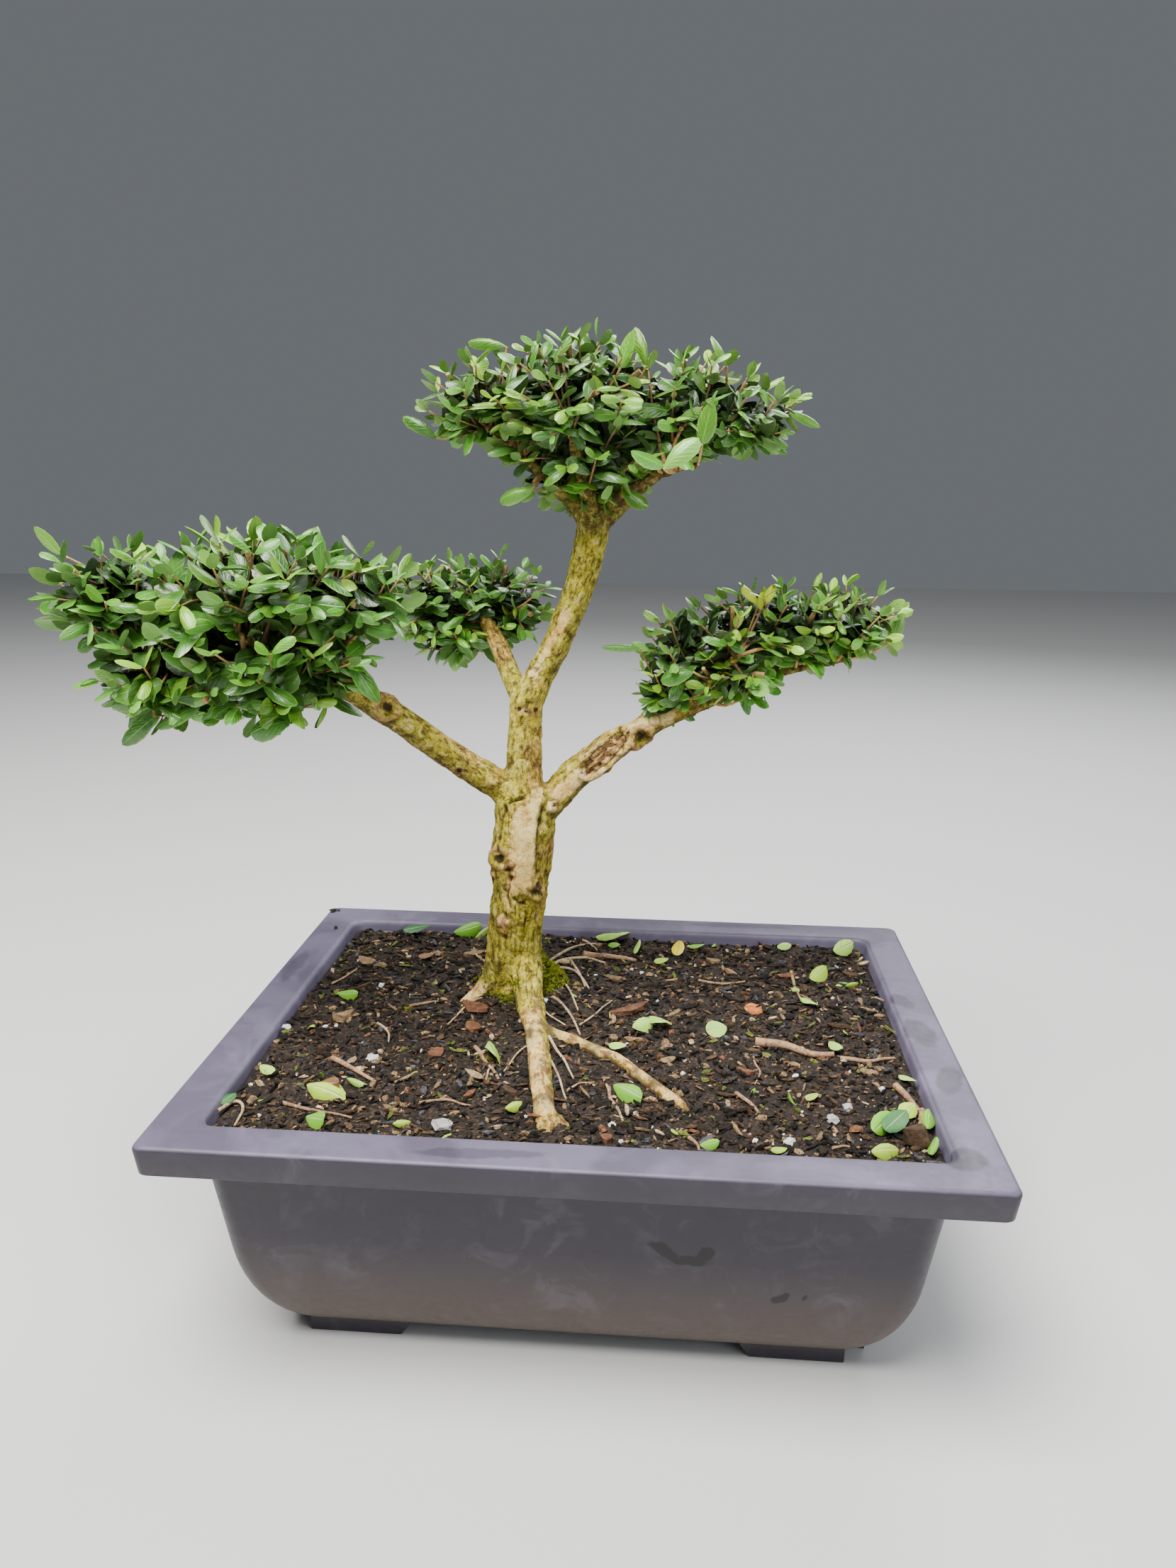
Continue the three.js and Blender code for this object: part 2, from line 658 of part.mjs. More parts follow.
const extent = new THREE.Box3().setFromObject(model);
const middle = extent.getCenter(new THREE.Vector3());
model.position.set(-middle.x, -middle.y, -extent.min.z);
model.updateMatrixWorld(true);

export default model;
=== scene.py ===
"""Honeysuckle bonsai in a rectangular training pot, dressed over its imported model."""

import math
import random

import bmesh
import bpy
import numpy as np
from bpy.props import (
    FloatProperty, FloatVectorProperty, IntProperty, PointerProperty, StringProperty)
from mathutils import Matrix, Vector, noise


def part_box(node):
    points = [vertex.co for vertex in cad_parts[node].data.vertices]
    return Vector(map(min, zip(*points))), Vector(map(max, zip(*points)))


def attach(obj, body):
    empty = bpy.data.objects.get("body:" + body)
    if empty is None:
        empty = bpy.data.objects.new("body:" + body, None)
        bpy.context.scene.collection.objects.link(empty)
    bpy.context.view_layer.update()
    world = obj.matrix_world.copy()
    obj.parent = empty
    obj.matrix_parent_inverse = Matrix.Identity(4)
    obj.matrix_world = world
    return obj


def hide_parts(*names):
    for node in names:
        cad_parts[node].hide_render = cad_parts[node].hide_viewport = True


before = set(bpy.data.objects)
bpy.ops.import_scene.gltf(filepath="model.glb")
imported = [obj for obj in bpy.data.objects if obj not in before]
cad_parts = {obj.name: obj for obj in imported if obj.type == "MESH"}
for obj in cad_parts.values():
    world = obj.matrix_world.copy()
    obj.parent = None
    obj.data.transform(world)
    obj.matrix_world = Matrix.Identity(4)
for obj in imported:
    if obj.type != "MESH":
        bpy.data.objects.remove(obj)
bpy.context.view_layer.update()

bl_info = {
    "name": "Honeysuckle Bonsai",
    "version": (1, 0, 0),
    "blender": (4, 5, 0),
    "location": "View3D > Sidebar > Bonsai",
    "description": "Models a clipped honeysuckle tree in its training pot",
    "category": "Object",
}

# Places are given in millimetres from the middle of the pot's footprint, on the table
MM = 0.001
POT_LOW, POT_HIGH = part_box("pot")
POT_MIDDLE = Vector(((POT_LOW.x + POT_HIGH.x) / 2, (POT_LOW.y + POT_HIGH.y) / 2, 0))
POT_SIZE = POT_HIGH - POT_LOW
SOIL_LOW, SOIL_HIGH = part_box("soil")


def at(place):
    """A place in millimetres from the pot's middle, as a point of the frame."""
    return POT_MIDDLE + Vector(place) * MM


def in_mm(points):
    """Points of the frame in millimetres from the pot's middle."""
    return (np.asarray(points) - np.array(POT_MIDDLE)) / MM


# Sizes and colours that a user may change

class PotSettings(bpy.types.PropertyGroup):
    plastic: FloatVectorProperty(
        name="Plastic", description="Colour of the moulded plastic", subtype='COLOR',
        min=0, max=1, default=(0.034, 0.029, 0.039))
    rim_width: FloatProperty(
        name="Rim width", description="Width of the rim's flat top", unit='LENGTH', default=16 * MM)
    skirt_height: FloatProperty(
        name="Skirt height", description="Height of the rim's turned down edge", unit='LENGTH',
        default=11.6 * MM)
    wall: FloatProperty(
        name="Wall", description="Thickness of the walls", unit='LENGTH', default=3 * MM)
    foot_height: FloatProperty(
        name="Foot height", description="How far the feet stand below the floor", unit='LENGTH',
        default=5.7 * MM)


class SoilSettings(bpy.types.PropertyGroup):
    crumb: FloatVectorProperty(
        name="Crumb", description="Colour of the moist crumbs", subtype='COLOR',
        min=0, max=1, default=(0.030, 0.020, 0.014))
    grain: FloatProperty(
        name="Grain", description="Distance between points of the soil's surface", unit='LENGTH',
        default=1.4 * MM)
    crumb_count: IntProperty(
        name="Crumbs", description="How many loose crumbs lie on the soil", default=8200)
    flake_count: IntProperty(
        name="Flakes", description="How many bark flakes lie on the soil", default=1150)
    grit_count: IntProperty(
        name="Grit", description="How many pale specks lie on the soil", default=64)


class WoodSettings(bpy.types.PropertyGroup):
    bark: FloatVectorProperty(
        name="Bark", description="Colour of the old bark", subtype='COLOR',
        min=0, max=1, default=(0.55, 0.35, 0.055))
    bare_wood: FloatVectorProperty(
        name="Bare wood", description="Colour where the bark has flaked off", subtype='COLOR',
        min=0, max=1, default=(1.0, 0.76, 0.26))
    algae: FloatVectorProperty(
        name="Algae", description="Colour of the green film on the bark", subtype='COLOR',
        min=0, max=1, default=(0.54, 0.46, 0.024))
    grain_size: FloatProperty(
        name="Grain size", description="Distance between points of the bark's surface",
        unit='LENGTH', default=0.95 * MM)
    relief: FloatProperty(
        name="Relief", description="Depth of the bark's furrows", unit='LENGTH', default=0.7 * MM)


class FoliageSettings(bpy.types.PropertyGroup):
    leaf: FloatVectorProperty(
        name="Leaf", description="Colour of a grown leaf", subtype='COLOR',
        min=0, max=1, default=(0.053, 0.216, 0.012))
    young_leaf: FloatVectorProperty(
        name="Young leaf", description="Colour of a fresh leaf", subtype='COLOR',
        min=0, max=1, default=(0.33, 0.53, 0.014))
    twig: FloatVectorProperty(
        name="Twig", description="Colour of the thin twigs", subtype='COLOR',
        min=0, max=1, default=(0.50, 0.29, 0.095))
    leaf_width: FloatProperty(
        name="Leaf width", description="Width of a leaf as a share of its length", default=0.52)
    twig_radius: FloatProperty(
        name="Twig radius", description="Radius of a shoot at its foot", unit='LENGTH',
        default=0.8 * MM)


class StageSettings(bpy.types.PropertyGroup):
    floor: FloatVectorProperty(
        name="Floor", description="Colour of the floor", subtype='COLOR',
        min=0, max=1, default=(0.62, 0.62, 0.61))
    key_power: FloatProperty(
        name="Key light", description="Power of the large light above", default=78)
    sky_strength: FloatProperty(
        name="Sky", description="Strength of the even light from all round", default=0.17)


# Helpers for objects

def pick(*objects):
    """Selects only these objects and makes the last one active."""
    bpy.ops.object.select_all(action='DESELECT')
    for thing in objects:
        thing.select_set(True)
    bpy.context.view_layer.objects.active = objects[-1]
    return objects[-1]


def join(objects):
    """Joins the objects into the first one."""
    first = objects[0]
    with bpy.context.temp_override(active_object=first, selected_editable_objects=objects):
        bpy.ops.object.join()
    return first


def finish_modifier(thing, kind, **values):
    """Adds a modifier and applies it."""
    modifier = thing.modifiers.new(kind.title(), kind)
    for name, value in values.items():
        setattr(modifier, name, value)
    pick(thing)
    bpy.ops.object.modifier_apply(modifier=modifier.name)


def edit_all():
    """Opens the active object for editing, with all of it selected."""
    bpy.ops.object.mode_set(mode='EDIT')
    bpy.ops.mesh.select_all(action='SELECT')


def smooth_but_edges(thing, degrees):
    """Smooth shading that keeps edges sharper than this angle."""
    pick(thing)
    bpy.ops.object.shade_smooth_by_angle(angle=math.radians(degrees))


def coordinates(mesh):
    """The mesh's points as an array."""
    points = np.empty(len(mesh.vertices) * 3)
    mesh.vertices.foreach_get("co", points)
    return points.reshape(-1, 3)


def set_coordinates(mesh, points):
    """Moves the mesh's points to these places."""
    mesh.vertices.foreach_set("co", np.asarray(points, dtype=float).ravel())
    mesh.update()


def vertex_normals(mesh):
    """The normal at each point of the mesh."""
    normals = np.empty(len(mesh.vertices) * 3)
    mesh.vertex_normals.foreach_get("vector", normals)
    return normals.reshape(-1, 3)


def paint(mesh, name, values):
    """Stores one number, or a colour of four numbers, on each point of the mesh."""
    kind, slot = ('FLOAT', "value") if np.ndim(values) == 1 else ('FLOAT_COLOR', "color")
    layer = mesh.attributes.get(name) or mesh.attributes.new(name, kind, 'POINT')
    layer.data.foreach_set(slot, np.asarray(values, dtype=float).ravel())


def dress(piece, name, material, replaced=()):
    """Names a finished piece, gives it its material and seats it on the frame."""
    piece.name = name
    piece.data.name = name
    piece.data.materials.clear()
    piece.data.materials.append(material)
    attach(piece, "root")
    if replaced:
        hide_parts(*replaced)


# How many copies are joined at a time, which is quicker than all at once
BUNCH = 90


def scatter(patterns, places, tints):
    """Copies of small patterns, one for each (pattern index, matrix), joined into one piece.

    Every copy carries its tint as a colour attribute.
    """
    bunches = []
    for first in range(0, len(places), BUNCH):
        copies = []
        for (index, matrix), tint in zip(places[first:first + BUNCH], tints[first:first + BUNCH]):
            mesh = patterns[index].data.copy()
            mesh.transform(matrix)
            paint(mesh, "tint", np.tile(tint, (len(mesh.vertices), 1)))
            copies.append(bpy.data.objects.new("copy", mesh))
            bpy.context.collection.objects.link(copies[-1])
        bunches.append(join(copies))
    return join(bunches)


def discard(objects):
    """Removes patterns and cutters that have done their work."""
    for thing in objects:
        bpy.data.objects.remove(thing)


# Helpers for materials

def node(tree, kind, sockets=(), **settings):
    """Adds a shader node. A socket's value may be a constant or another node's output."""
    made = tree.nodes.new("ShaderNode" + kind)
    for name, value in settings.items():
        setattr(made, name, value)
    for socket, value in dict(sockets).items():
        if isinstance(value, bpy.types.NodeSocket):
            tree.links.new(value, made.inputs[socket])
        else:
            made.inputs[socket].default_value = value
    return made


def new_material(name):
    """An empty material: its node tree and its shader."""
    material = bpy.data.materials.new(name)
    material.use_nodes = True
    tree = material.node_tree
    return material, tree, tree.nodes["Principled BSDF"]


def toned(colour, strength):
    """A colour made lighter or darker, as three numbers."""
    return tuple(min(1.0, channel * strength) for channel in colour)


def mix(tree, share, first, second, blend='MIX'):
    """Mixes two colours by share. A colour is a node's output or three numbers."""
    first, second = (colour if isinstance(colour, bpy.types.NodeSocket) else (*colour, 1.0)
                     for colour in (first, second))
    made = node(tree, "Mix", {0: share, 6: first, 7: second}, data_type='RGBA', blend_type=blend)
    return made.outputs[2]


def ramp(tree, value, low, high, to_low=0.0, to_high=1.0):
    """Maps a number from one range to another, and holds it inside."""
    sockets = {"Value": value, "From Min": low, "From Max": high,
               "To Min": to_low, "To Max": to_high}
    return node(tree, "MapRange", sockets).outputs["Result"]


def lay(tree, colour, *layers):
    """Lays tones over a colour, one after the other.

    A layer is a value, where in it the tone starts and where it is full, its strength there,
    and the tone.
    """
    for value, start, full, most, tone in layers:
        colour = mix(tree, ramp(tree, value, start, full, 0.0, most), colour, tone)
    return colour


def shaded(tree, colour, light):
    """A colour made lighter or darker by a number."""
    grey = node(tree, "CombineColor", {0: light, 1: light, 2: light}).outputs[0]
    return mix(tree, 1.0, colour, grey, 'MULTIPLY')


def sums(operation):
    """A function that adds a node for one kind of sum, and gives its result."""
    def result(tree, first, second=0.0):
        return node(tree, "Math", {0: first, 1: second}, operation=operation).outputs[0]
    return result


plus, less, times = sums('ADD'), sums('SUBTRACT'), sums('MULTIPLY')
power, root, wave = sums('POWER'), sums('SQRT'), sums('SINE')
larger, unsigned = sums('MAXIMUM'), sums('ABSOLUTE')


def vector_node(tree, operation, first, second=(0, 0, 0)):
    """The result of a sum with vectors: a number where the operation gives one."""
    made = node(tree, "VectorMath", {0: first, 1: second}, operation=operation)
    gives_number = operation in ('DISTANCE', 'DOT_PRODUCT', 'LENGTH')
    return made.outputs["Value" if gives_number else "Vector"]


def part_of(tree, vector, index):
    """One part of a vector: 0 for X, 1 for Y and 2 for Z."""
    return node(tree, "SeparateXYZ", {"Vector": vector}).outputs[index]


def noise_of(tree, vector, scale, detail=3.0, roughness=0.55, distortion=0.0):
    """Noise between 0 and 1, with scale in features for each metre."""
    sockets = {"Vector": vector, "Scale": scale, "Detail": detail, "Roughness": roughness,
               "Distortion": distortion}
    return node(tree, "TexNoise", sockets).outputs["Fac"]


def object_place(tree):
    """The place on the piece, in metres."""
    return node(tree, "TexCoord").outputs["Object"]


def attribute(tree, name, output="Fac"):
    """What a piece stores on its points under a name."""
    return node(tree, "Attribute", attribute_name=name).outputs[output]


def bump(tree, height, distance, strength=1.0, below=None):
    """The surface's direction on a fine relief, which may lie on another relief."""
    sockets = {"Height": height, "Distance": distance, "Strength": strength}
    if below is not None:
        sockets["Normal"] = below
    return node(tree, "Bump", sockets).outputs["Normal"]


def connect(tree, shader, **sockets):
    """Links outputs to the shader's sockets, or sets constants there."""
    for name, value in sockets.items():
        socket = shader.inputs[name.replace("_", " ")]
        if isinstance(value, bpy.types.NodeSocket):
            tree.links.new(value, socket)
        else:
            socket.default_value = value


# The pot

RIM_CORNER = 4 * MM
RIM_EDGE = 2 * MM
RIM_PLATE = 3 * MM
SKIRT_THICKNESS = 2.6 * MM
SKIRT_TAPER = 1.1 * MM
NECK_INSET = 16.7 * MM
WALL_DRAFT = 0.124
BODY_CORNER = 8 * MM
CORNER_GROWTH = 0.25
HEEL_TOP = 46.3 * MM
HEEL_REACH = 18.2 * MM
CORNER_STEPS = 7
FILLET = 1.5 * MM

# How much further in the neck is inside than outside, and how much tighter its corners are
INNER_LIP = 1.9 * MM
INNER_CORNER = 2 * MM

# Strips that the pot stands on: low corner, high corner, the axis its inner end slopes along
FOOT_STRIPS = (
    ((68.3, 72.5), (105, 81.5), 0),
    ((107, 44), (114, 73), 1),
)
# How the inner end of a strip slopes in, and how far the strip reaches into the heel
STRIP_SLOPE = 5.3 * MM
STRIP_SUNK = 1.9 * MM
DRAIN_RADIUS = 5 * MM
DRAIN_PITCH = (62 * MM, 64 * MM)

# Marks on the plastic: dried water film that is partly painted sky reflection, a painted warm
# reflection near the foot, dust
FILM_AND_SHEEN_TONE = (0.33, 0.29, 0.44)
PAINTED_WARM_REFLECTION = (0.112, 0.079, 0.054)
DUST_TONE = (0.25, 0.245, 0.28)

# Wet smudges on the front and the rim: middle, half sizes, turns in degrees, how dark
WET_SMUDGES = (
    ((35, -101, 59.6), (8.0, 20, 2.7), (0, 36, 0), 0.9),
    ((43.5, -101, 55.8), (7.2, 20, 2.6), (0, 4, 0), 0.9),
    ((48.5, -101, 58.8), (5.0, 20, 3.0), (0, -34, 0), 0.9),
    ((77, -100, 41), (4.0, 20, 2.3), (0, -46, 0), 0.9),
    ((86, -100, 42), (1.7, 20, 1.3), (0, -60, 0), 0.8),
    ((139, 28, 103), (5, 9, 6), (0, 0, 20), 0.45),
    ((141, -4, 103), (7, 15, 6), (0, 0, 8), 0.5),
    ((144, -46, 103), (6, 13, 6), (0, 0, -14), 0.5),
    ((137, -103, 103), (9, 8, 6), (0, 0, 30), 0.55),
    ((-30, -115, 103), (26, 3.5, 6), (0, 0, 3), 0.35),
    ((70, 116, 103), (30, 3, 6), (0, 0, 0), 0.3),
    ((-146, 40, 103), (4, 22, 6), (0, 0, 0), 0.3),
)

# How far the edges of the smudges waver
SMUDGE_WAVER = 4 * MM


def rounded_ring(inset, z, radius):
    """Points of a rounded rectangle that lies inset within the rim's outer edge."""
    half = Vector((POT_SIZE.x / 2 - inset, POT_SIZE.y / 2 - inset))
    points = []
    for corner, (side_x, side_y) in enumerate(((1, 1), (-1, 1), (-1, -1), (1, -1))):
        for step in range(CORNER_STEPS + 1):
            angle = (corner + step / CORNER_STEPS) * math.pi / 2
            x = side_x * (half.x - radius) + radius * math.cos(angle)
            y = side_y * (half.y - radius) + radius * math.sin(angle)
            points.append(POT_MIDDLE + Vector((x, y, z)))
    return points


def quarter(steps):
    """Sine and cosine at even steps through a quarter turn."""
    angles = [i / steps * math.pi / 2 for i in range(steps + 1)]
    return [(math.sin(angle), math.cos(angle)) for angle in angles]


def pot_outline(pot):
    """The shell's section from the floor's underside round the rim to the inner floor."""
    top = POT_SIZE.z
    neck_z = top - RIM_PLATE
    skirt_foot = top - pot.skirt_height
    drop = HEEL_TOP - pot.foot_height

    def inset_at(z):
        down = max(0.0, (HEEL_TOP - z) / drop)
        return (NECK_INSET + WALL_DRAFT * (skirt_foot - z)
                + HEEL_REACH * (1 - math.sqrt(max(0.0, 1 - down * down))))

    def corner_at(z):
        return BODY_CORNER + CORNER_GROWTH * (inset_at(z) - NECK_INSET)

    heel = [HEEL_TOP - drop * cosine for _, cosine in quarter(14)]
    section = [(inset_at(z), z, corner_at(z)) for z in heel]
    neck = inset_at(neck_z)
    section += [(neck - FILLET * (1 - cosine), neck_z - FILLET * (1 - sine), BODY_CORNER)
                for sine, cosine in quarter(4)]
    skirt_inside = SKIRT_THICKNESS + SKIRT_TAPER
    section += [(inset, z, RIM_CORNER) for inset, z in (
        (SKIRT_THICKNESS + FILLET, neck_z),
        (SKIRT_THICKNESS, neck_z - FILLET),
        (skirt_inside, skirt_foot + 0.3 * MM),
        (skirt_inside - 0.3 * MM, skirt_foot),
        (SKIRT_TAPER + 0.4 * MM, skirt_foot),
        (SKIRT_TAPER, skirt_foot + 0.4 * MM),
    )]
    section += [(RIM_EDGE * (1 - cosine), top - RIM_EDGE * (1 - sine), RIM_CORNER)
                for sine, cosine in quarter(5)]
    lip = NECK_INSET + INNER_LIP - pot.rim_width
    inner = BODY_CORNER - INNER_CORNER
    section += [(pot.rim_width + lip * sine, neck_z + RIM_PLATE * cosine, inner)
                for sine, cosine in quarter(5)]
    for sine, cosine in reversed(quarter(8)):
        z = HEEL_TOP - drop * cosine
        height = HEEL_TOP - (drop - pot.wall) * cosine
        section.append((inset_at(z) + pot.wall, height, corner_at(z) - INNER_CORNER))
    return [rounded_ring(*row) for row in section]


def draw_out(rings):
    """Draws a disc out ring by ring. Each point keeps its station round the outline."""
    bpy.ops.mesh.primitive_circle_add(vertices=len(rings[0]), radius=1, fill_type='NGON')
    shell = bpy.context.object
    shell.data.attributes.new("station", 'INT', 'POINT')
    shell.data.attributes["station"].data.foreach_set("value", list(range(len(rings[0]))))
    set_coordinates(shell.data, rings[0])
    bpy.ops.object.mode_set(mode='EDIT')
    for ring in rings[1:]:
        bpy.ops.mesh.extrude_region_move()
        mesh = bmesh.from_edit_mesh(shell.data)
        station = mesh.verts.layers.int["station"]
        for point in mesh.verts:
            if point.select:
                point.co = ring[point[station]]
    bpy.ops.mesh.select_all(action='SELECT')
    bpy.ops.mesh.normals_make_consistent(inside=False)
    bpy.ops.object.mode_set(mode='OBJECT')
    shell.data.attributes.remove(shell.data.attributes["station"])
    return shell


def foot_strip(low, high, slope_axis, side_x, side_y, height):
    """One strip under the heel, whose inner end slopes and whose edges are eased."""
    low, high = Vector((*low, 0)) * MM, Vector((*high, 0)) * MM
    high.z = height + STRIP_SUNK
    bpy.ops.mesh.primitive_cube_add(size=1, location=(0, 0, 0))
    strip = bpy.context.object
    middle, size = (low + high) / 2, high - low
    for point in strip.data.vertices:
        place = middle + Vector(a * b for a, b in zip(point.co, size))
        if point.co[slope_axis] < 0 < point.co.z:
            place[slope_axis] -= STRIP_SLOPE
        point.co = POT_MIDDLE + Vector((side_x * place.x, side_y * place.y, place.z))
    finish_modifier(strip, 'BEVEL', width=0.6 * MM, segments=2)
    pick(strip)
    edit_all()
    bpy.ops.mesh.normals_make_consistent(inside=False)
    bpy.ops.object.mode_set(mode='OBJECT')
    return strip


def drain_cutter(pot):
    """Rods where the drain holes go through the floor."""
    rods = []
    for column in (-1, 0, 1):
        for row in (-0.5, 0.5):
            offset = (column * DRAIN_PITCH[0], row * DRAIN_PITCH[1], pot.foot_height)
            bpy.ops.mesh.primitive_cylinder_add(
                vertices=24, radius=DRAIN_RADIUS, depth=4 * pot.wall,
                location=POT_MIDDLE + Vector(offset))
            bpy.ops.object.transform_apply(location=True)
            rods.append(bpy.context.object)
    return join(rods)


def plastic_material(pot):
    """Moulded plastic with a fine grain, dried water marks that are partly painted sky reflection,
    a painted warm reflection near the foot and a few wet smudges.
    """
    material, tree, shader = new_material("pot plastic")
    place = object_place(tree)
    height = part_of(tree, place, 2)
    facing = node(tree, "TexCoord").outputs["Normal"]
    upward = part_of(tree, facing, 2)
    outward = vector_node(
        tree, 'DOT_PRODUCT', vector_node(tree, 'SUBTRACT', place, POT_MIDDLE), facing)
    broad = noise_of(tree, place, 22, 4, 0.6, 0.4)
    cloudy = ramp(tree, noise_of(tree, place, 55, 6, 0.62, 1.2), 0.5, 0.63)
    dusty = times(tree, cloudy, ramp(tree, broad, 0.42, 0.62))
    darker, lighter = toned(pot.plastic, 0.92), toned(pot.plastic, 1.1)
    colour = mix(tree, ramp(tree, broad, 0.3, 0.7), darker, lighter)

    stain = ramp(tree, noise_of(tree, place, 30, 4, 0.55, 0.8), 0.42, 0.60)
    # The film: dried water marks, and painted sky reflection that lightens the upward faces and the
    # inner walls
    on_top = ramp(tree, upward, 0.35, 0.85, 0.0, 0.30)
    inside = ramp(tree, outward, 0.02, -0.02, 0.02, 0.50)
    film = times(tree, larger(tree, on_top, inside), ramp(tree, height, 0.080, 0.086))
    film = times(tree, film, plus(tree, 0.72, times(tree, stain, 0.45)))
    colour = mix(tree, film, colour, FILM_AND_SHEEN_TONE)
    # Painted reflection: a warm tint low on the body, near the foot
    low = ramp(tree, height, 0.056, 0.012, 0.0, 0.7)
    low = times(tree, low, ramp(tree, height, 0.004, 0.010))
    colour = mix(tree, low, colour, PAINTED_WARM_REFLECTION)
    colour = mix(tree, times(tree, dusty, 0.16), colour, DUST_TONE)

    shake = node(tree, "TexNoise", {"Vector": place, "Scale": 180.0, "Detail": 3.0})
    shake = vector_node(tree, 'SUBTRACT', shake.outputs["Color"], (0.5, 0.5, 0.5))
    shake = vector_node(tree, 'MULTIPLY', shake, [SMUDGE_WAVER] * 3)
    shaken = vector_node(tree, 'ADD', place, shake)
    wet = 0.0
    for middle, half, turns, darkness in WET_SMUDGES:
        sockets = {"Vector": shaken, "Location": at(middle),
                   "Rotation": [math.radians(turn) for turn in turns], "Scale": Vector(half) * MM}
        local = node(tree, "Mapping", sockets, vector_type='TEXTURE').outputs[0]
        blob = node(tree, "TexGradient", {"Vector": local}, gradient_type='SPHERICAL')
        blob = ramp(tree, blob.outputs["Fac"], 0.0, 0.25, 0.0, darkness)
        wet = larger(tree, wet, blob)
    colour = mix(tree, wet, colour, toned(pot.plastic, 0.25))

    rough = ramp(tree, noise_of(tree, place, 320, 5, 0.6), 0.3, 0.7, 0.36, 0.5)
    rough = less(tree, plus(tree, rough, times(tree, dusty, 0.18)), times(tree, wet, 0.1))
    fine = noise_of(tree, place, 2600, 2)
    relief = bump(tree, fine, 0.06 * MM, 0.5, bump(tree, broad, 1.2 * MM, 0.25))
    connect(tree, shader, Base_Color=colour, Roughness=rough, Normal=relief,
            Specular_IOR_Level=0.32)
    return material


class BONSAI_OT_pot(bpy.types.Operator):
    """Models the moulded pot with its rim, feet and drain holes"""
    bl_idname = "bonsai.pot"
    bl_label = "Pot"

    def execute(self, context):
        pot = context.scene.bonsai_pot
        shell = draw_out(pot_outline(pot))
        cutter = drain_cutter(pot)
        finish_modifier(shell, 'BOOLEAN', object=cutter, operation='DIFFERENCE', solver='EXACT')
        discard([cutter])
        strips = [foot_strip(low, high, axis, side_x, side_y, pot.foot_height)
                  for low, high, axis in FOOT_STRIPS for side_x in (1, -1) for side_y in (1, -1)]
        join([shell, *strips])
        smooth_but_edges(shell, 40)
        dress(shell, "training_pot", plastic_material(pot), ["pot"])
        return {'FINISHED'}


# The wood. Lines along the middles of the limbs give the bark's grain its direction.

LIMB_LINES = (
    ((-39, 33, 86), (-38.2, 32, 112), (-36.2, 30, 148), (-33.7, 29, 185), (-33.4, 29, 214),
     (-32.2, 30, 236), (-19.7, 29, 259.5), (-9.6, 27, 284), (-3.8, 27, 309), (-1.4, 27, 330)),
    ((-36, 28.5, 190), (-55.8, 23, 207), (-87.3, 3, 235), (-114, -13, 252), (-149, -26, 260.5),
     (-184, -30.5, 256)),
    ((-32, 30, 180), (-10.7, 34, 203.6), (18, 38.5, 223), (52.5, 43, 237.5), (105.5, 42, 255.5)),
    ((-33, 30, 231), (-41.1, 38, 248.5), (-52.3, 54, 265.3), (-64, 66, 274)),
    ((-33, 27, 116), (-28, 8, 102), (-18.2, -40, 98.8), (-10.3, -86, 93.5)),
    ((-24, -6, 100), (-1.4, -22.1, 99), (27.4, -52, 98.4), (44, -71, 93)),
    ((-46, 28, 110), (-61, 12.5, 97.6)),
    ((-47, 42, 110), (-58, 54, 101.5), (-80, 77, 91)),
    ((-30, 40, 108), (-8, 56, 99)),
)

# How much the bark's pattern is drawn out along a limb
GRAIN_STRETCH = 0.62

# Healed cuts: middle, radius, depth of the hollow, height of the ring round it
HOLLOWS = (
    ((-42.9, 16.9, 167.6), 2.2, 2.4, 0.9),
    ((-42.4, 17.3, 171.4), 1.1, 1.2, 0.1),
    ((-39.0, 16.4, 162.6), 1.0, 1.2, 0.2),
    ((-26.7, 18.5, 151.7), 1.8, 2.4, 0.3),
    ((-25.2, 20.2, 154.6), 1.4, 1.8, 0.3),
    ((17.9, 33.6, 220.0), 2.3, 3.0, 1.9),
    ((-19.6, 24.4, 190.4), 0.8, 1.2, 0.0),
    ((-34.4, 23.2, 233.8), 1.1, 0.8, 0.3),
    ((-32.0, 23.0, 232.8), 0.8, 0.7, 0.3),
    ((-27.6, 24.6, 233.4), 1.0, 0.7, 0.2),
    ((-27.1, 24.4, 250.4), 0.9, 1.1, 0.1),
    ((-86.0, -2.4, 238.0), 2.4, 1.6, 1.2),
    ((-60.1, 15.9, 207.6), 1.1, 1.0, 0.6),
    ((-46.8, 41.0, 256.8), 1.0, 0.7, 0.3),
)

# Healed stubs that stand proud: middle, radius, height, how red the healed face is
KNOBS = (
    ((-41.4, 18.8, 137.4), 3.0, 1.7, 1.0),
    ((-41.0, 19.2, 132.6), 2.2, 1.2, 0.8),
    ((-20.5, 24.3, 189.6), 2.5, 1.7, 0.0),
    ((23.6, 35.8, 228.2), 1.8, 0.8, 0.5),
    ((-27.3, 24.2, 252.4), 1.1, 0.9, 0.0),
    ((-37.2, 15.9, 165.6), 1.2, 0.9, 0.3),
    ((-37.0, 16.3, 160.6), 1.4, 0.8, 0.2),
    ((-63.0, 11.4, 98.6), 2.2, 2.0, 0.0),
    ((-45.8, 21.4, 159.0), 1.8, 0.9, 0.3),
    ((-28.2, 41.2, 172.2), 2.4, 1.4, 0.7),
    ((-43.8, 40.2, 149.8), 2.6, 1.3, 0.5),
    ((-62.3, 23.0, 216.8), 1.6, 0.8, 0.4),
    ((-8.5, 32.0, 296.0), 1.5, 0.8, 0.5),
)

# The open wound on the right limb: its two ends and half its width
WOUND = ((-4.6, 29.3, 206.4), (9.8, 32.2, 220.7), 4.0)

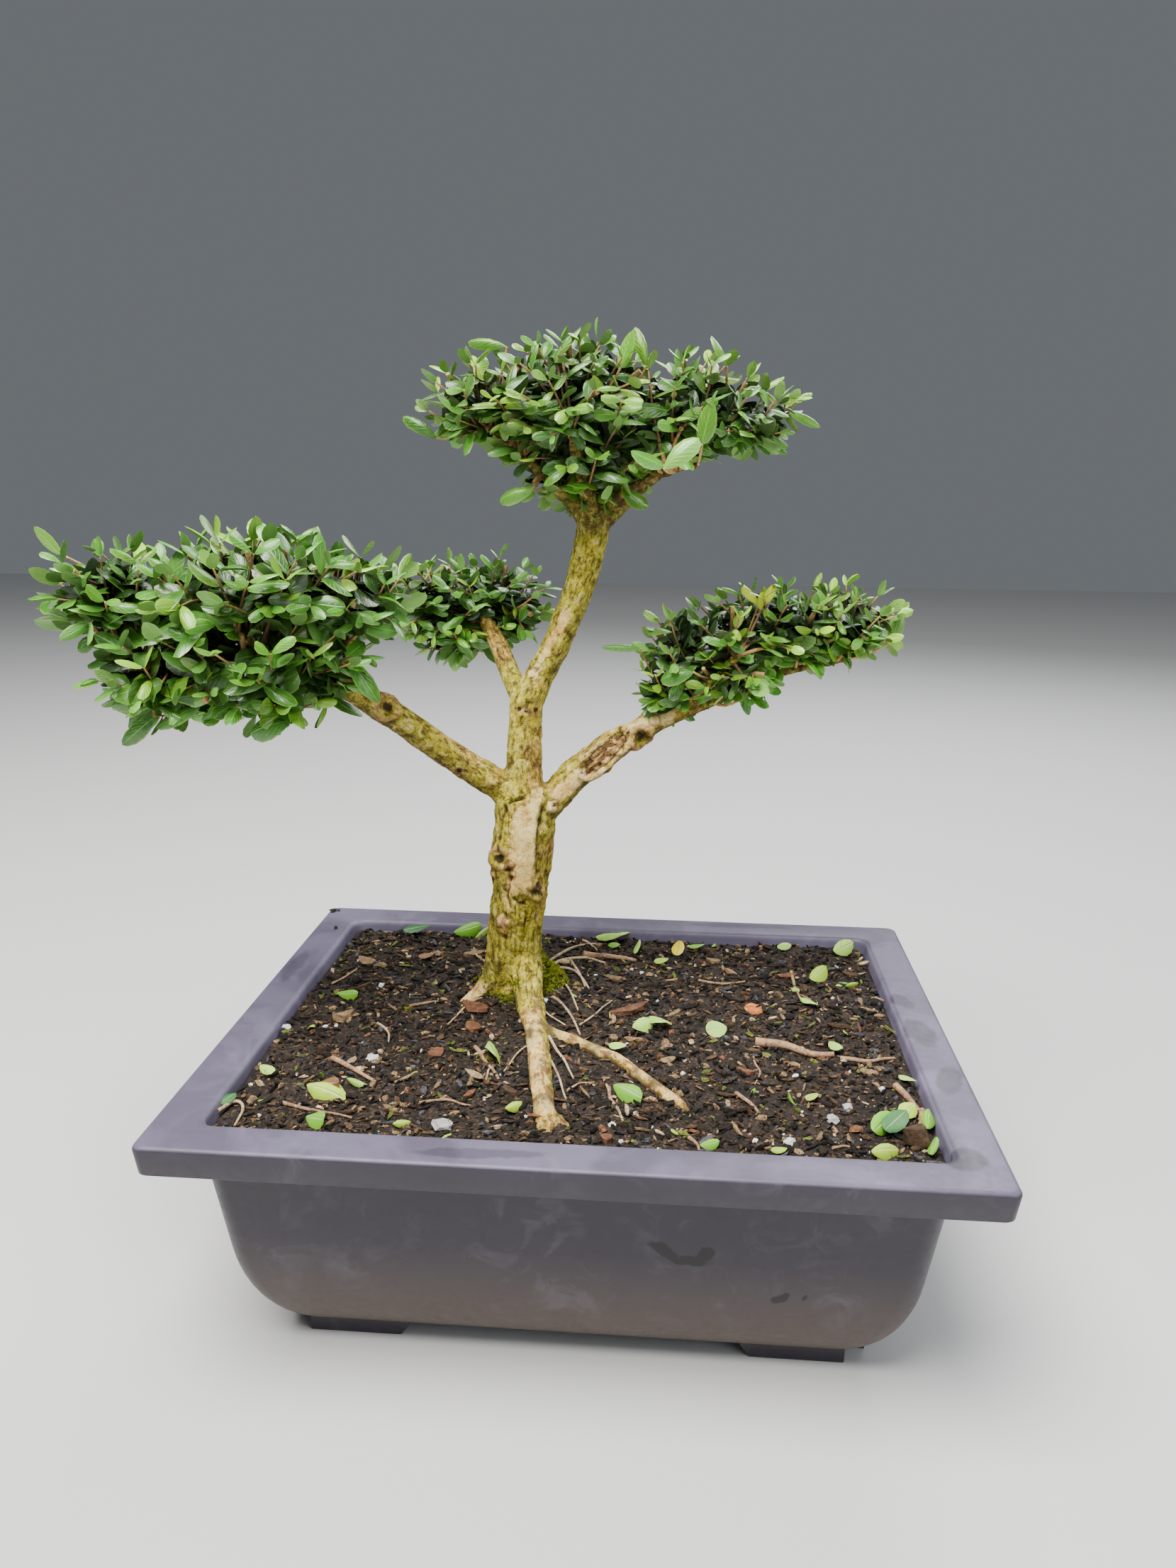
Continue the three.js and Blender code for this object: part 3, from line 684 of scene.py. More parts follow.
# Furrows between the trunk's ridges, as lines with a half width
FURROWS = (
    (((-23.6, 21.4, 190.6), (-25.0, 19.4, 184), (-25.8, 18.2, 176), (-25.6, 18.8, 163),
      (-25.4, 19.6, 156)), 1.2),
    (((-40.5, 17.2, 190), (-42.8, 17.8, 176), (-43.9, 17.9, 170.5)), 1.0),
    (((-37.5, 16.6, 160), (-39.6, 18.0, 150), (-37.2, 17.8, 142)), 0.8),
    (((-43.0, 19.5, 194), (-40.2, 17.5, 190.5), (-38.8, 16.9, 187)), 1.1),
    (((-38.2, 18.0, 193), (-30.0, 19.0, 195.5)), 0.6),
    (((-36.6, 17.0, 149.4), (-33.4, 18.2, 146.4), (-30.2, 19.6, 147.6)), 0.7),
    (((-42.6, 18.8, 141.2), (-41.0, 18.8, 141.0), (-39.6, 18.6, 139.4)), 0.8),
    (((-42.6, 19.4, 131.0), (-41.0, 19.4, 130.2)), 0.9),
    (((-31.0, 19.4, 142), (-32.4, 19.8, 128), (-35.8, 16.5, 114)), 0.8),
    (((-21.8, 37.4, 190), (-26.6, 39.8, 165), (-29.4, 41.0, 135)), 1.1),
    (((-38.4, 39.0, 198), (-42.8, 41.0, 170), (-45.0, 41.6, 130)), 1.1),
)

# Bare strips where the bark has flaked off: lines with two thirds of their half width
BARE_STRIPS = (
    (((-24.5, 21, 198.5), (-28, 18.8, 191)), 1.7),
    (((-30.8, 17.4, 187), (-31.6, 16, 177), (-32.4, 16, 170), (-31.6, 16.4, 162)), 3.5),
    (((-31.6, 16.4, 162), (-34.6, 16.6, 155)), 3.4),
    (((-35.5, 17, 152.5), (-39.5, 18, 148)), 1.8),
    (((-17.5, 25.4, 196), (-8.9, 28, 202.8), (-0.5, 29.6, 205)), 2.2),
    (((13, 34, 225.2), (21.4, 35.2, 228), (29, 36.8, 231)), 2.5),
    (((-23.5, -10, 104), (-20, -34, 103.5), (-12, -76, 101.5)), 3.4),
    (((-13.8, -14.6, 101.8), (14, -33.6, 101), (38.4, -64.5, 99.8)), 1.7),
    (((-52, 19, 103), (-58, 13, 99.5), (-64, 9, 97)), 2.2),
    (((-35.4, 42, 190), (-36.6, 42, 176), (-36.9, 42, 160)), 2.4),
    (((-60, 24, 213.5), (-80, 11, 231.5)), 1.4),
    (((-28.8, 24, 249.5), (-14, 21.8, 275)), 1.3),
    (((-8.6, 31.5, 262), (-1.5, 31, 290)), 1.4),
)

# Where a green film grows thickly: lines with a reach
FILM_LINES = (
    (((-33, 19, 148), (-33.5, 19.5, 122)), 4.5),
    (((-32, 15, 114), (-27, 3, 106)), 3.6),
    (((-20, -8, 102), (-14.5, -40, 100.5), (-9, -66, 99)), 1.9),
    (((-60, 16, 211), (-100, -12, 243)), 2.0),
)

# Lines that the wood is drawn in to, with a reach and how far it is drawn in
SLIMMED = (
    (((-22.5, -16, 99), (-18.2, -40, 98.8), (-11.5, -80, 94.5)), 7, 0.5),
    (((-54, 19.5, 101), (-60, 13.5, 99)), 4, 0.1),
)

# Limbs whose bark is brown and dry, with little green on it
BROWN_LIMBS = (
    ((-46, 44, 255), (-52.3, 54, 265.3), (-64, 66, 274)),
    ((10, 18, 326), (25, 14, 332), (39, 12, 336)),
)

# Old roots behind the trunk that lie mostly under the soil
BURIED_ROOTS = (
    ((-50, 45, 106), (-58, 54, 101.5), (-80, 77, 91)),
    ((-27, 42, 106), (-8, 56, 99)),
)
ROOTS_TOP = 118

# How far the bark comes out again after the smoothing that rounds the solid
REGAINED = 0.25

# Tones of the bark, from pale to dark, of its green film, of the painted shade under and within the
# limbs, and of the soil that dirties it
CREAM, UMBER, RUST = (0.95, 0.74, 0.27), (0.070, 0.040, 0.008), (0.15, 0.068, 0.028)
OLIVE, LICHEN = (0.39, 0.36, 0.028), (0.53, 0.48, 0.028)
PAINTED_SHADE_TONE, SPLASH = (0.070, 0.046, 0.016), (0.075, 0.055, 0.018)

# Tones of the bare wood
IVORY, HONEY, AMBER = (1.0, 0.82, 0.42), (0.95, 0.59, 0.16), (0.76, 0.47, 0.12)
CHESTNUT, WALNUT = (0.42, 0.20, 0.06), (0.38, 0.22, 0.07)

# Tones of healed cuts, of the painted shade in their holes and the bark's crevices, and of the open
# wound, with its lip
SCAR, HEALED = (0.36, 0.15, 0.05), (0.74, 0.44, 0.24)
CUT_RIM, PAINTED_HOLE_SHADE = (0.11, 0.060, 0.020), (0.026, 0.014, 0.007)
ROTTEN, TORN, SPLINTER = (0.10, 0.040, 0.010), (0.50, 0.29, 0.095), (0.88, 0.66, 0.38)
LIP = (0.07, 0.028, 0.010)


def to_segment(points, start, end):
    """Distance of each point from a segment, and the segment's direction."""
    start, end = np.array(start, float), np.array(end, float)
    along = end - start
    share = np.clip((points - start) @ along / (along @ along), 0, 1)
    distance = np.linalg.norm(points - start - share[:, None] * along, axis=1)
    return distance, along / np.linalg.norm(along)


def to_line(points, line):
    """Distance of each point from a line of several segments."""
    return np.min([to_segment(points, a, b)[0] for a, b in zip(line, line[1:])], axis=0)


def drawn_out(points, segments):
    """The points with the pattern drawn out along the limbs, and how thick the limb is there."""
    points = np.atleast_2d(points)
    shift, total = np.zeros_like(points), np.zeros((len(points), 1))
    girth = np.full(len(points), 1e9)
    for start, end, carried in segments:
        distance, direction = to_segment(points, start, end)
        weight = 1 / (distance[:, None] + 1) ** 6
        along = (points - np.array(start)) @ direction
        shift += weight * (carried - GRAIN_STRETCH * along[:, None] * direction)
        total += weight
        girth = np.minimum(girth, distance)
    return points + shift / total, girth


def limb_segments():
    """The limbs' straight pieces, each with the shift that its pattern takes over."""
    segments = []
    for line in LIMB_LINES:
        root = np.array(line[0], float)
        carried = drawn_out(root, segments)[0][0] - root if segments else np.zeros(3)
        for start, end in zip(line, line[1:]):
            segments.append((start, end, carried))
            carried = carried - GRAIN_STRETCH * (np.array(end, float) - np.array(start, float))
    return segments


def fractal(points, size, octaves=3):
    """Noise of about -1 to 1 at each point, with features of the given size."""
    return np.array([noise.fractal(point, 1.0, 2.0, octaves) for point in points / size])


def ridges(points, size, octaves=3):
    """Noise with sharp creases, from 0 in a crease to about 1."""
    return np.minimum(1.0, np.abs(fractal(points, size, octaves)) * 2.2)


def soft_edge(distance, reach):
    """1 within a reach, falling to 0 at twice that."""
    return np.clip(2 - distance / reach, 0, 1)


def slope(values, start, full):
    """0 at the start, 1 where it is full, and straight between."""
    return np.clip((values - start) / (full - start), 0, 1)


def carve_furrows(points, height, hollow):
    """Cuts the furrows between the trunk's ridges, and marks them for painted shade."""
    for line, half_width in FURROWS:
        distance = to_line(points, line) + 0.6 * fractal(points, 3)
        groove = np.exp(-(distance / half_width) ** 2)
        height = height - 1.4 * groove
        hollow = np.maximum(hollow, 0.7 * groove)
    return height, hollow


def carve_cuts(points, height, bare):
    """Sinks the healed cuts, raises the stubs, and marks both as healed wood."""
    healed = np.zeros(len(points))
    for middle, radius, pit, ring in HOLLOWS:
        distance = np.linalg.norm(points - np.array(middle), axis=1)
        distance = distance + 0.55 * fractal(points, 2.2)
        cavity = np.exp(-(distance / radius) ** 2)
        collar = np.exp(-((distance - 2.1 * radius) / (0.6 * radius)) ** 2)
        height = height + (ring * collar - pit * cavity)
        healed = np.maximum(healed, 0.34 * collar)
    for middle, radius, rise, redness in KNOBS:
        distance = np.linalg.norm(points - np.array(middle), axis=1)
        distance = distance + 0.4 * fractal(points, 2.5)
        face = np.exp(-(distance / radius) ** 4)
        gap = np.exp(-((distance - 1.35 * radius) / 0.7) ** 2)
        height = height + (rise * face - 0.3 * gap)
        healed = np.maximum(healed, 0.50 * redness * face)
        bare = np.maximum(bare, (1 - redness) * face)
    return height, bare, healed


def carve_wound(points, grain, height, bare, hollow):
    """Opens the long wound to its torn wood, between raised lips, and marks its gaps for painted
    shade.
    """
    start, end, half_width = WOUND
    distance, _ = to_segment(points, start, end)
    distance = distance + 0.7 * fractal(points, 3.5)
    torn = ridges(grain, 2.3)
    opened = soft_edge(distance, 0.62 * half_width)
    lip = np.exp(-((distance - 1.2 * half_width) / 0.9) ** 2)
    height = height + (1.2 * lip + opened * (1.6 * (torn - 0.5) - 1.8))
    bare = np.maximum(bare, 0.6 * lip)
    hollow = np.maximum(hollow * (1 - opened), opened * np.clip(0.8 - 3.2 * torn, 0, 1))
    return height, bare, hollow


def grow_film(points, bare, healed):
    """Where the green film grows, and the bare wood that it leaves uncovered."""
    damp_foot = slope(points[:, 2], 150, 126) * slope(points[:, 1], 2, 12)
    upper = slope(points[:, 2], 215, 275)
    algae = np.clip(0.50 + 0.6 * fractal(points, 11) + 0.5 * damp_foot + 0.4 * upper, 0, 1)
    algae *= slope(points[:, 1], -8, 6) * (1 - bare) * (1 - healed)
    to_brown = np.min([to_line(points, line) for line in BROWN_LIMBS], axis=0)
    algae *= 1 - 0.9 * np.clip(1.6 - to_brown / 9, 0, 1)
    for line, reach in FILM_LINES:
        film = soft_edge(to_line(points, line) + 1.2 * fractal(points, 4), reach)
        algae, bare = np.maximum(algae, 0.85 * film), bare * (1 - 0.8 * film)
    return algae, bare


def carve_bark(points, grain, girth, relief):
    """How far each point moves out, and four marks: bare wood, algae, hollow and healed. Hollow is
    where painted shade darkens crevices and holes.
    """
    plates = ridges(0.5 * (points + grain), 4.2)
    cracks = ridges(grain + 50, 8.5, 4)
    fibres = fractal(grain, 1.3, 2)
    depth = relief * np.clip(girth / 9, 0.25, 1.0)
    height = depth * (0.55 * plates + 0.75 * np.minimum(cracks * 2.2, 1) - 0.95 + 0.35 * fibres)
    height += depth * 0.6 * fractal(points, 5, 2) + 0.06 * girth * fractal(points, 16)
    rooting = slope(points[:, 2], 112, 104)
    height += rooting * (0.32 * fractal(grain, 4.5, 2) + 0.25)

    bare = np.zeros(len(points))
    for line, half_width in BARE_STRIPS:
        distance = to_line(points, line) + 1.3 * fractal(points, 5) + 0.7 * fibres
        bare = np.maximum(bare, soft_edge(distance, half_width))
    height = height * (1 - 0.6 * bare)
    # Crevices between the bark's plates, marked for painted shade
    hollow = np.clip(0.60 - 2.6 * np.minimum(plates, 1.4 * cracks), 0, 0.6) * (1 - 0.7 * bare)
    height, hollow = carve_furrows(points, height, hollow)
    height, bare, healed = carve_cuts(points, height, bare)
    height, bare, hollow = carve_wound(points, grain, height, bare, hollow)
    for line, reach, drawn_in in SLIMMED:
        height = height - drawn_in * soft_edge(to_line(points, line), reach)
    algae, bare = grow_film(points, bare, healed)
    return height, bare, algae, hollow, healed


def in_marks(tree, place, wobble, marks, edge=0.3):
    """1 inside any of several round marks, each a middle and a radius, and 0 outside them."""
    share = 0.0
    for middle, radius in marks:
        away = plus(tree, vector_node(tree, 'DISTANCE', place, at(middle)), wobble)
        inside = ramp(tree, away, (1 + edge) * radius * MM, (1 - edge) * radius * MM)
        share = larger(tree, share, inside)
    return share


def from_wound(tree, place):
    """Distance from the wound's middle, with the long wound drawn in to a circle."""
    start, end, half_width = WOUND
    middle, half = (at(start) + at(end)) / 2, (at(end) - at(start)) / 2
    squeeze = 1 - (half_width * MM / (half.length + 0.8 * half_width * MM)) ** 2
    offset = vector_node(tree, 'SUBTRACT', place, middle)
    along = vector_node(tree, 'DOT_PRODUCT', offset, half.normalized())
    length = vector_node(tree, 'LENGTH', offset)
    drawn_in = times(tree, power(tree, along, 2.0), squeeze)
    across = less(tree, power(tree, length, 2.0), drawn_in)
    return root(tree, across)


def bark_tones(tree, wood, height, blotch, patch, fibre, algae):
    """Old bark with cream flakes, umber furrows and a green film."""
    bark = mix(tree, ramp(tree, blotch, 0.42, 0.58), wood.bark, toned(wood.bark, 0.72))
    green = mix(tree, ramp(tree, blotch, 0.45, 0.62), wood.algae, OLIVE)
    green = lay(tree, green, (height, 0.215, 0.270, 0.85, LICHEN))
    film = plus(tree, times(tree, patch, 0.9), algae)
    return lay(tree, bark,
               (film, 0.62, 0.95, 0.95, green),
               (patch, 0.53, 0.68, 0.90, CREAM),
               (patch, 0.49, 0.38, 0.85, UMBER),
               (fibre, 0.55, 0.72, 0.80, CREAM),
               (fibre, 0.49, 0.37, 0.90, UMBER))


def bare_tones(tree, wood, height, blotch, patch, fibre):
    """Bare wood with pale and brown streaks, warmer low on the trunk."""
    pale = mix(tree, ramp(tree, blotch, 0.42, 0.58), AMBER, wood.bare_wood)
    pale = lay(tree, pale,
               (patch, 0.50, 0.66, 1.00, IVORY),
               (fibre, 0.54, 0.72, 0.70, IVORY),
               (patch, 0.48, 0.37, 0.75, CHESTNUT),
               (fibre, 0.42, 0.30, 0.60, WALNUT))
    warm = ramp(tree, height, 0.178, 0.152, 0.0, 0.6)
    return mix(tree, times(tree, warm, ramp(tree, height, 0.120, 0.135)), pale, HONEY)


def wounded(tree, colour, place, fibre, hollow):
    """Lays the open wound, the rims of the stubs, and painted shade in the holes and crevices over
    the wood.
    """
    ragged = less(tree, noise_of(tree, place, 420, 3, 0.6), 0.5)
    wobble = times(tree, ragged, 3.4 * MM)
    width = WOUND[2] * MM
    away = plus(tree, from_wound(tree, place), wobble)
    torn = mix(tree, ramp(tree, fibre, 0.40, 0.56), ROTTEN, TORN)
    torn = lay(tree, torn, (fibre, 0.55, 0.66, 1.0, SPLINTER))
    colour = lay(tree, colour,
                 (away, 1.08 * width, 0.95 * width, 1.0, LIP),
                 (away, 0.93 * width, 0.78 * width, 1.0, torn))

    outer = [(middle, 1.65 * radius) for middle, radius, *_ in KNOBS]
    inner = [(middle, 1.25 * radius) for middle, radius, *_ in KNOBS]
    rim = less(tree, in_marks(tree, place, wobble, outer, 0.2),
               in_marks(tree, place, wobble, inner, 0.2))
    colour = mix(tree, times(tree, larger(tree, rim, 0.0), 0.8), colour, CUT_RIM)
    # Painted shade: near black in the crevices, the furrows, the wound's gaps and the holes of the
    # cuts
    holes = [(middle, 0.65 * radius + 0.5 * pit) for middle, radius, pit, _ in HOLLOWS]
    dark = ramp(tree, plus(tree, hollow, times(tree, fibre, 0.5)), 0.52, 0.95)
    dark = larger(tree, dark, in_marks(tree, place, wobble, holes))
    return mix(tree, times(tree, dark, 0.95), colour, PAINTED_HOLE_SHADE)


def splashed(tree, colour, place, grain, height, blotch, patch):
    """Splashes soil and rusty streaks over the foot and the roots."""
    dirt = plus(tree, ramp(tree, height, 0.118, 0.098, 0.0, 0.16), blotch)
    dirt = plus(tree, dirt, times(tree, patch, 0.3))
    dirt = times(tree, ramp(tree, dirt, 0.74, 0.88), ramp(tree, height, 0.122, 0.108))
    colour = mix(tree, times(tree, dirt, 0.85), colour, SPLASH)
    rusty = ramp(tree, noise_of(tree, grain, 330, 5, 0.65, 0.5), 0.52, 0.57)
    rusty = times(tree, rusty, ramp(tree, height, 0.114, 0.104))
    return mix(tree, times(tree, rusty, 0.8), colour, RUST)


def bark_material(wood):
    """Flaking bark with fibres along the limbs, bare strips, algae, painted shade in its hollows,
    and painted shade under and within the limbs.
    """
    material, tree, shader = new_material("bark")
    place = object_place(tree)
    grain = attribute(tree, "grain", "Vector")
    marks = node(tree, "SeparateColor", {"Color": attribute(tree, "marks", "Color")})
    bare, algae, hollow = marks.outputs[0], marks.outputs[1], marks.outputs[2]
    height = part_of(tree, place, 2)
    blotch = noise_of(tree, place, 75, 4, 0.6)
    patch = noise_of(tree, place, 230, 6, 0.72, 0.6)
    fibre = noise_of(tree, grain, 620, 5, 0.7, 0.3)
    fleck = noise_of(tree, place, 1300, 3, 0.65)

    bark = bark_tones(tree, wood, height, blotch, patch, fibre, algae)
    pale = bare_tones(tree, wood, height, blotch, patch, fibre)
    ragged = plus(tree, plus(tree, bare, times(tree, patch, 1.5)), times(tree, fibre, 0.5))
    colour = mix(tree, ramp(tree, ragged, 1.26, 1.72), bark, pale)
    # Painted shade: darkens the limbs' undersides and the wood within the pads
    painted_shade = times(tree, attribute(tree, "painted_shade"), ramp(tree, patch, 0.62, 0.42, 0.5, 1.0))
    colour = mix(tree, times(tree, painted_shade, 0.9), colour, PAINTED_SHADE_TONE)
    healed = mix(tree, ramp(tree, fibre, 0.40, 0.62), SCAR, HEALED)
    colour = lay(tree, colour, (attribute(tree, "wound"), 0.15, 0.45, 1.0, healed))
    colour = wounded(tree, colour, place, fibre, hollow)
    colour = splashed(tree, colour, place, grain, height, blotch, patch)
    colour = lay(tree, colour, (fleck, 0.42, 0.32, 0.6, UMBER))

    relief = bump(tree, fibre, 0.7 * MM, 0.9, bump(tree, patch, 1.5 * MM, 0.8))
    relief = bump(tree, fleck, 0.3 * MM, 0.7, relief)
    rough = ramp(tree, fibre, 0.3, 0.7, 0.70, 0.92)
    connect(tree, shader, Base_Color=colour, Roughness=rough, Normal=relief,
            Specular_IOR_Level=0.25)
    return material


def cad_copy(name):
    """A merged copy of a node of the frame, which itself stays as it is."""
    copy = bpy.data.objects.new(name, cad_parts[name].data.copy())
    bpy.context.collection.objects.link(copy)
    pick(copy)
    edit_all()
    bpy.ops.mesh.remove_doubles(threshold=0.001 * MM)
    bpy.ops.object.mode_set(mode='OBJECT')
    return copy


def limb_painted_shade(points, normals):
    """Painted shade on the limbs: dark on their undersides, and where they are within a pad."""
    down = np.clip(-1.7 * normals[:, 2] - 0.12, 0, 1) * slope(points[:, 2], 140, 180)
    within = [points[:, 2] - 303, -106 - points[:, 0], points[:, 0] - 52]
    return np.maximum(down, np.clip(np.max(within, axis=0) / 9, 0, 1))


class BONSAI_OT_wood(bpy.types.Operator):
    """Rounds and carves the trunk, limbs and surface roots"""
    bl_idname = "bonsai.wood"
    bl_label = "Trunk, limbs and roots"

    def execute(self, context):
        wood = context.scene.bonsai_wood
        trunk = cad_copy("wood")
        finish_modifier(trunk, 'REMESH', mode='VOXEL', voxel_size=wood.grain_size)
        finish_modifier(trunk, 'SMOOTH', factor=0.5, iterations=9)
        points = in_mm(coordinates(trunk.data))
        grain, girth = drawn_out(points, limb_segments())
        height, bare, algae, hollow, healed = carve_bark(points, grain, girth, wood.relief / MM)
        moved = points + vertex_normals(trunk.data) * (height + REGAINED)[:, None]
        for line in BURIED_ROOTS:
            from_trunk = np.linalg.norm(moved[:, :2] - TRUNK_FOOT, axis=1)
            lowered = soft_edge(to_line(points, line), 7) * slope(from_trunk, 13, 22)
            moved[:, 2] -= 9 * lowered * (points[:, 2] < ROOTS_TOP)
        set_coordinates(trunk.data, moved * MM + np.array(POT_MIDDLE))

        layer = trunk.data.attributes.new("grain", 'FLOAT_VECTOR', 'POINT')
        layer.data.foreach_set("vector", (grain * MM).ravel())
        # The third mark, hollow, is where painted shade darkens crevices and holes
        paint(trunk.data, "marks", np.stack([bare, algae, hollow, np.ones(len(points))], axis=1))
        # Painted shade for the bark: the limbs' undersides and the wood within the pads
        paint(trunk.data, "painted_shade", limb_painted_shade(points, vertex_normals(trunk.data)))
        paint(trunk.data, "wound", healed)
        pick(trunk)
        bpy.ops.object.shade_smooth()
        dress(trunk, "trunk_and_limbs", bark_material(wood), ["wood"])
        return {'FINISHED'}


# The foliage. A pad fills lobes, ellipsoids that its leaf tips reach. Its shoots grow from arms.

# A pad's light scales the colour of its leaves and twigs: painted light, raised for the back and
# right pads
PADS = {
    "top": {
        "seed": 5, "leaf": (9, 15), "spacing": 10.5, "young": 0.2, "light": 1.0,
        "lobes": (((-10.9, 25, 360), (47, 46, 29)), ((-47, 25, 361), (30, 32, 18)),
                  ((35.2, 25, 358.7), (34.9, 38, 22.2)), ((60, 23, 355.6), (24, 24, 12)),
                  ((-9.4, 28, 337), (30.8, 30, 19.5)), ((-2, 6, 342), (30, 18, 17))),
        "arms": (((-12, 24, 322), (-28, 20, 336), (-46, 18, 350)),
                 ((10, 28, 322), (28, 30, 337), (50, 28, 350)),
                 ((0, 42, 325), (4, 56, 342)), ((-6, 10, 327), (-10, -4, 344)),
                 ((10, 18, 326), (25, 14, 332), (39, 12, 336)), ((-1.4, 27, 327), (-2, 26, 342))),
    },
    "left": {
        "seed": 8, "leaf": (12.5, 21), "spacing": 11.2, "young": -0.12, "light": 1.0,
        "lobes": (((-133.2, -15, 286.5), (54, 44, 23.2)), ((-188, -18, 283.5), (32, 30, 22)),
                  ((-99, -6, 284), (26, 30, 19)),
                  ((-132.3, -22, 259.7), (49.7, 38, 26.4)), ((-172.9, -25, 256.1), (28, 26, 21.8))),
        "arms": (((-114, -13, 252), (-130, -20, 257.5), (-149, -26, 260.5), (-184, -30.5, 256)),
                 ((-97, -4, 243), (-108, 4, 256), (-122, 12, 270)),
                 ((-112, -12, 251), (-124, -26, 262), (-134, -38, 270)),
                 ((-140, -23, 259), (-156, -12, 272), (-172, -4, 280))),
    },
    "back": {
        "seed": 13, "leaf": (8.5, 13.5), "spacing": 10, "young": 0.04, "light": 1.22,
        "lobes": (((-49.2, 71, 276), (27.5, 27, 22)), ((-72, 62, 272), (28, 28, 25)),
                  ((-84, 54, 279), (15, 20, 16))),
        "arms": (((-46.3, 46, 257.7), (-52.3, 54, 265.3), (-58, 61, 270), (-64, 66, 274)),),
    },
    "right": {
        "seed": 21, "leaf": (8.5, 14), "spacing": 10, "young": 0.2, "light": 1.22,
        "lobes": (((79, 45, 270.5), (35, 30, 17.8)), ((56, 43, 265), (28, 28, 19)),
                  ((38, 42, 259), (24, 26, 20)), ((31, 42, 245), (17, 18, 15.5)),
                  ((106, 45, 273), (26, 24, 17)), ((54, 32, 251), (22, 17, 13))),
        "arms": (((18, 38.5, 223), (41, 41.5, 233), (52.5, 43, 237.5), (73.7, 44.5, 248)),
                 ((73.7, 44.5, 248), (90, 44, 252), (105.5, 42, 255.5)),
                 ((26, 50, 236), (36, 60, 250)), ((48, 30, 246), (58, 24, 258))),
    },
}

# Single leaves that stand out of a pad: foot, tip, width over length, how young
LONE_LEAVES = {
    "top": (((40, -12, 343), (43, -15, 360), 0.66, 0.1),
            ((26, -14, 334), (37, -17, 348), 0.62, 0.12),
            ((26, -12, 335), (12, -15, 341), 0.7, 0.0), ((9, 10, 327), (21, 6, 319), 0.6, 0.1),
            ((-27, 10, 326), (-41, 6, 325), 0.66, 0.1), ((8, 5, 372), (12, 4, 387), 0.6, 0.15),
            ((18, 8, 373), (15, 6, 389), 0.4, 0.2), ((-17, 5, 376), (-8, 4, 389), 0.42, 0.15),
            ((-37, 10, 380), (-53, 8, 386), 0.34, 0.1), ((49, 10, 373), (44, 8, 386), 0.42, 0.1),
            ((75, 21, 357), (89, 19, 352), 0.4, 0.1), ((-68, 21, 346), (-80, 18, 358), 0.42, 0.0)),
    "left": (((-208, -18, 282), (-228, -20, 281), 0.3, 0.0),
             ((-212, -18, 299), (-222, -20, 311), 0.4, 0.25),
             ((-163, -43, 253), (-184, -47, 247), 0.72, 0.1),
             ((-151, -38, 243), (-171, -42, 235), 0.42, 0.0),
             ((-170, -37, 238), (-185, -40, 226), 0.44, 0.0),
             ((-117, -34, 237), (-135, -37, 234), 0.6, 0.0),
             ((-94, -28, 261), (-81, -32, 244), 0.46, 0.0),
             ((-106, -18, 244), (-90, -21, 237), 0.42, 0.0)),
    "back": (),
    "right": (((17, 31, 260), (-1, 28, 262), 0.26, 0.0), ((62, 36, 241), (66, 33, 231), 0.66, 0.0),
              ((125, 43, 263), (129, 41, 277), 0.6, 0.1),
              ((40, 20, 252), (26, 16, 252), 0.72, 0.0), ((67, 36, 279), (62, 33, 288), 0.5, 1.3),
              ((69, 36, 279), (74, 34, 289), 0.5, 1.3), ((68, 34, 277), (68, 30, 286), 0.5, 1.2)),
}

# Layers of shoots: how far out in the pad their tips lie, their spacing as a share of the
# pad's, and how many millimetres from the tip bear leaves
SHOOT_LAYERS = ((0.83, 1.0, 27), (0.55, 1.15, 24))
SHOOT_TRIES = 2600
UP = Vector((0, 0, 1))

# Leaf forms: how far the sides curl down, how far the tip hangs, twist, where it is widest
LEAF_FORMS = (
    (0.34, 0.26, 0.00, 0.52),
    (0.60, 0.46, 0.12, 0.56),
    (0.20, 0.12, -0.14, 0.50),
    (0.90, 0.62, -0.08, 0.58),
    (0.50, 0.36, -0.22, 0.54),
    (0.42, 0.02, 0.10, 0.54),
)
RIB_DEPTH = 0.10
LEAF_SEGMENTS = (6, 4)
LEAF_THICKNESS = 0.022

# Radius of a shoot's tip and of the stalk of a single leaf, in millimetres
TWIG_TIP = 0.36
LONE_STALK = 0.5

# Tones in a leaf: its paler sort, its side veins, midrib, edge (painted rim light) and underside,
# and a bud's yellow
GREY_GREEN = (0.135, 0.36, 0.055)
VEIN, RIB, PAINTED_RIM_LIGHT = (0.19, 0.40, 0.06), (0.32, 0.54, 0.10), (0.30, 0.50, 0.06)
UNDERSIDE, YELLOW = (0.17, 0.32, 0.075), (0.58, 0.66, 0.003)


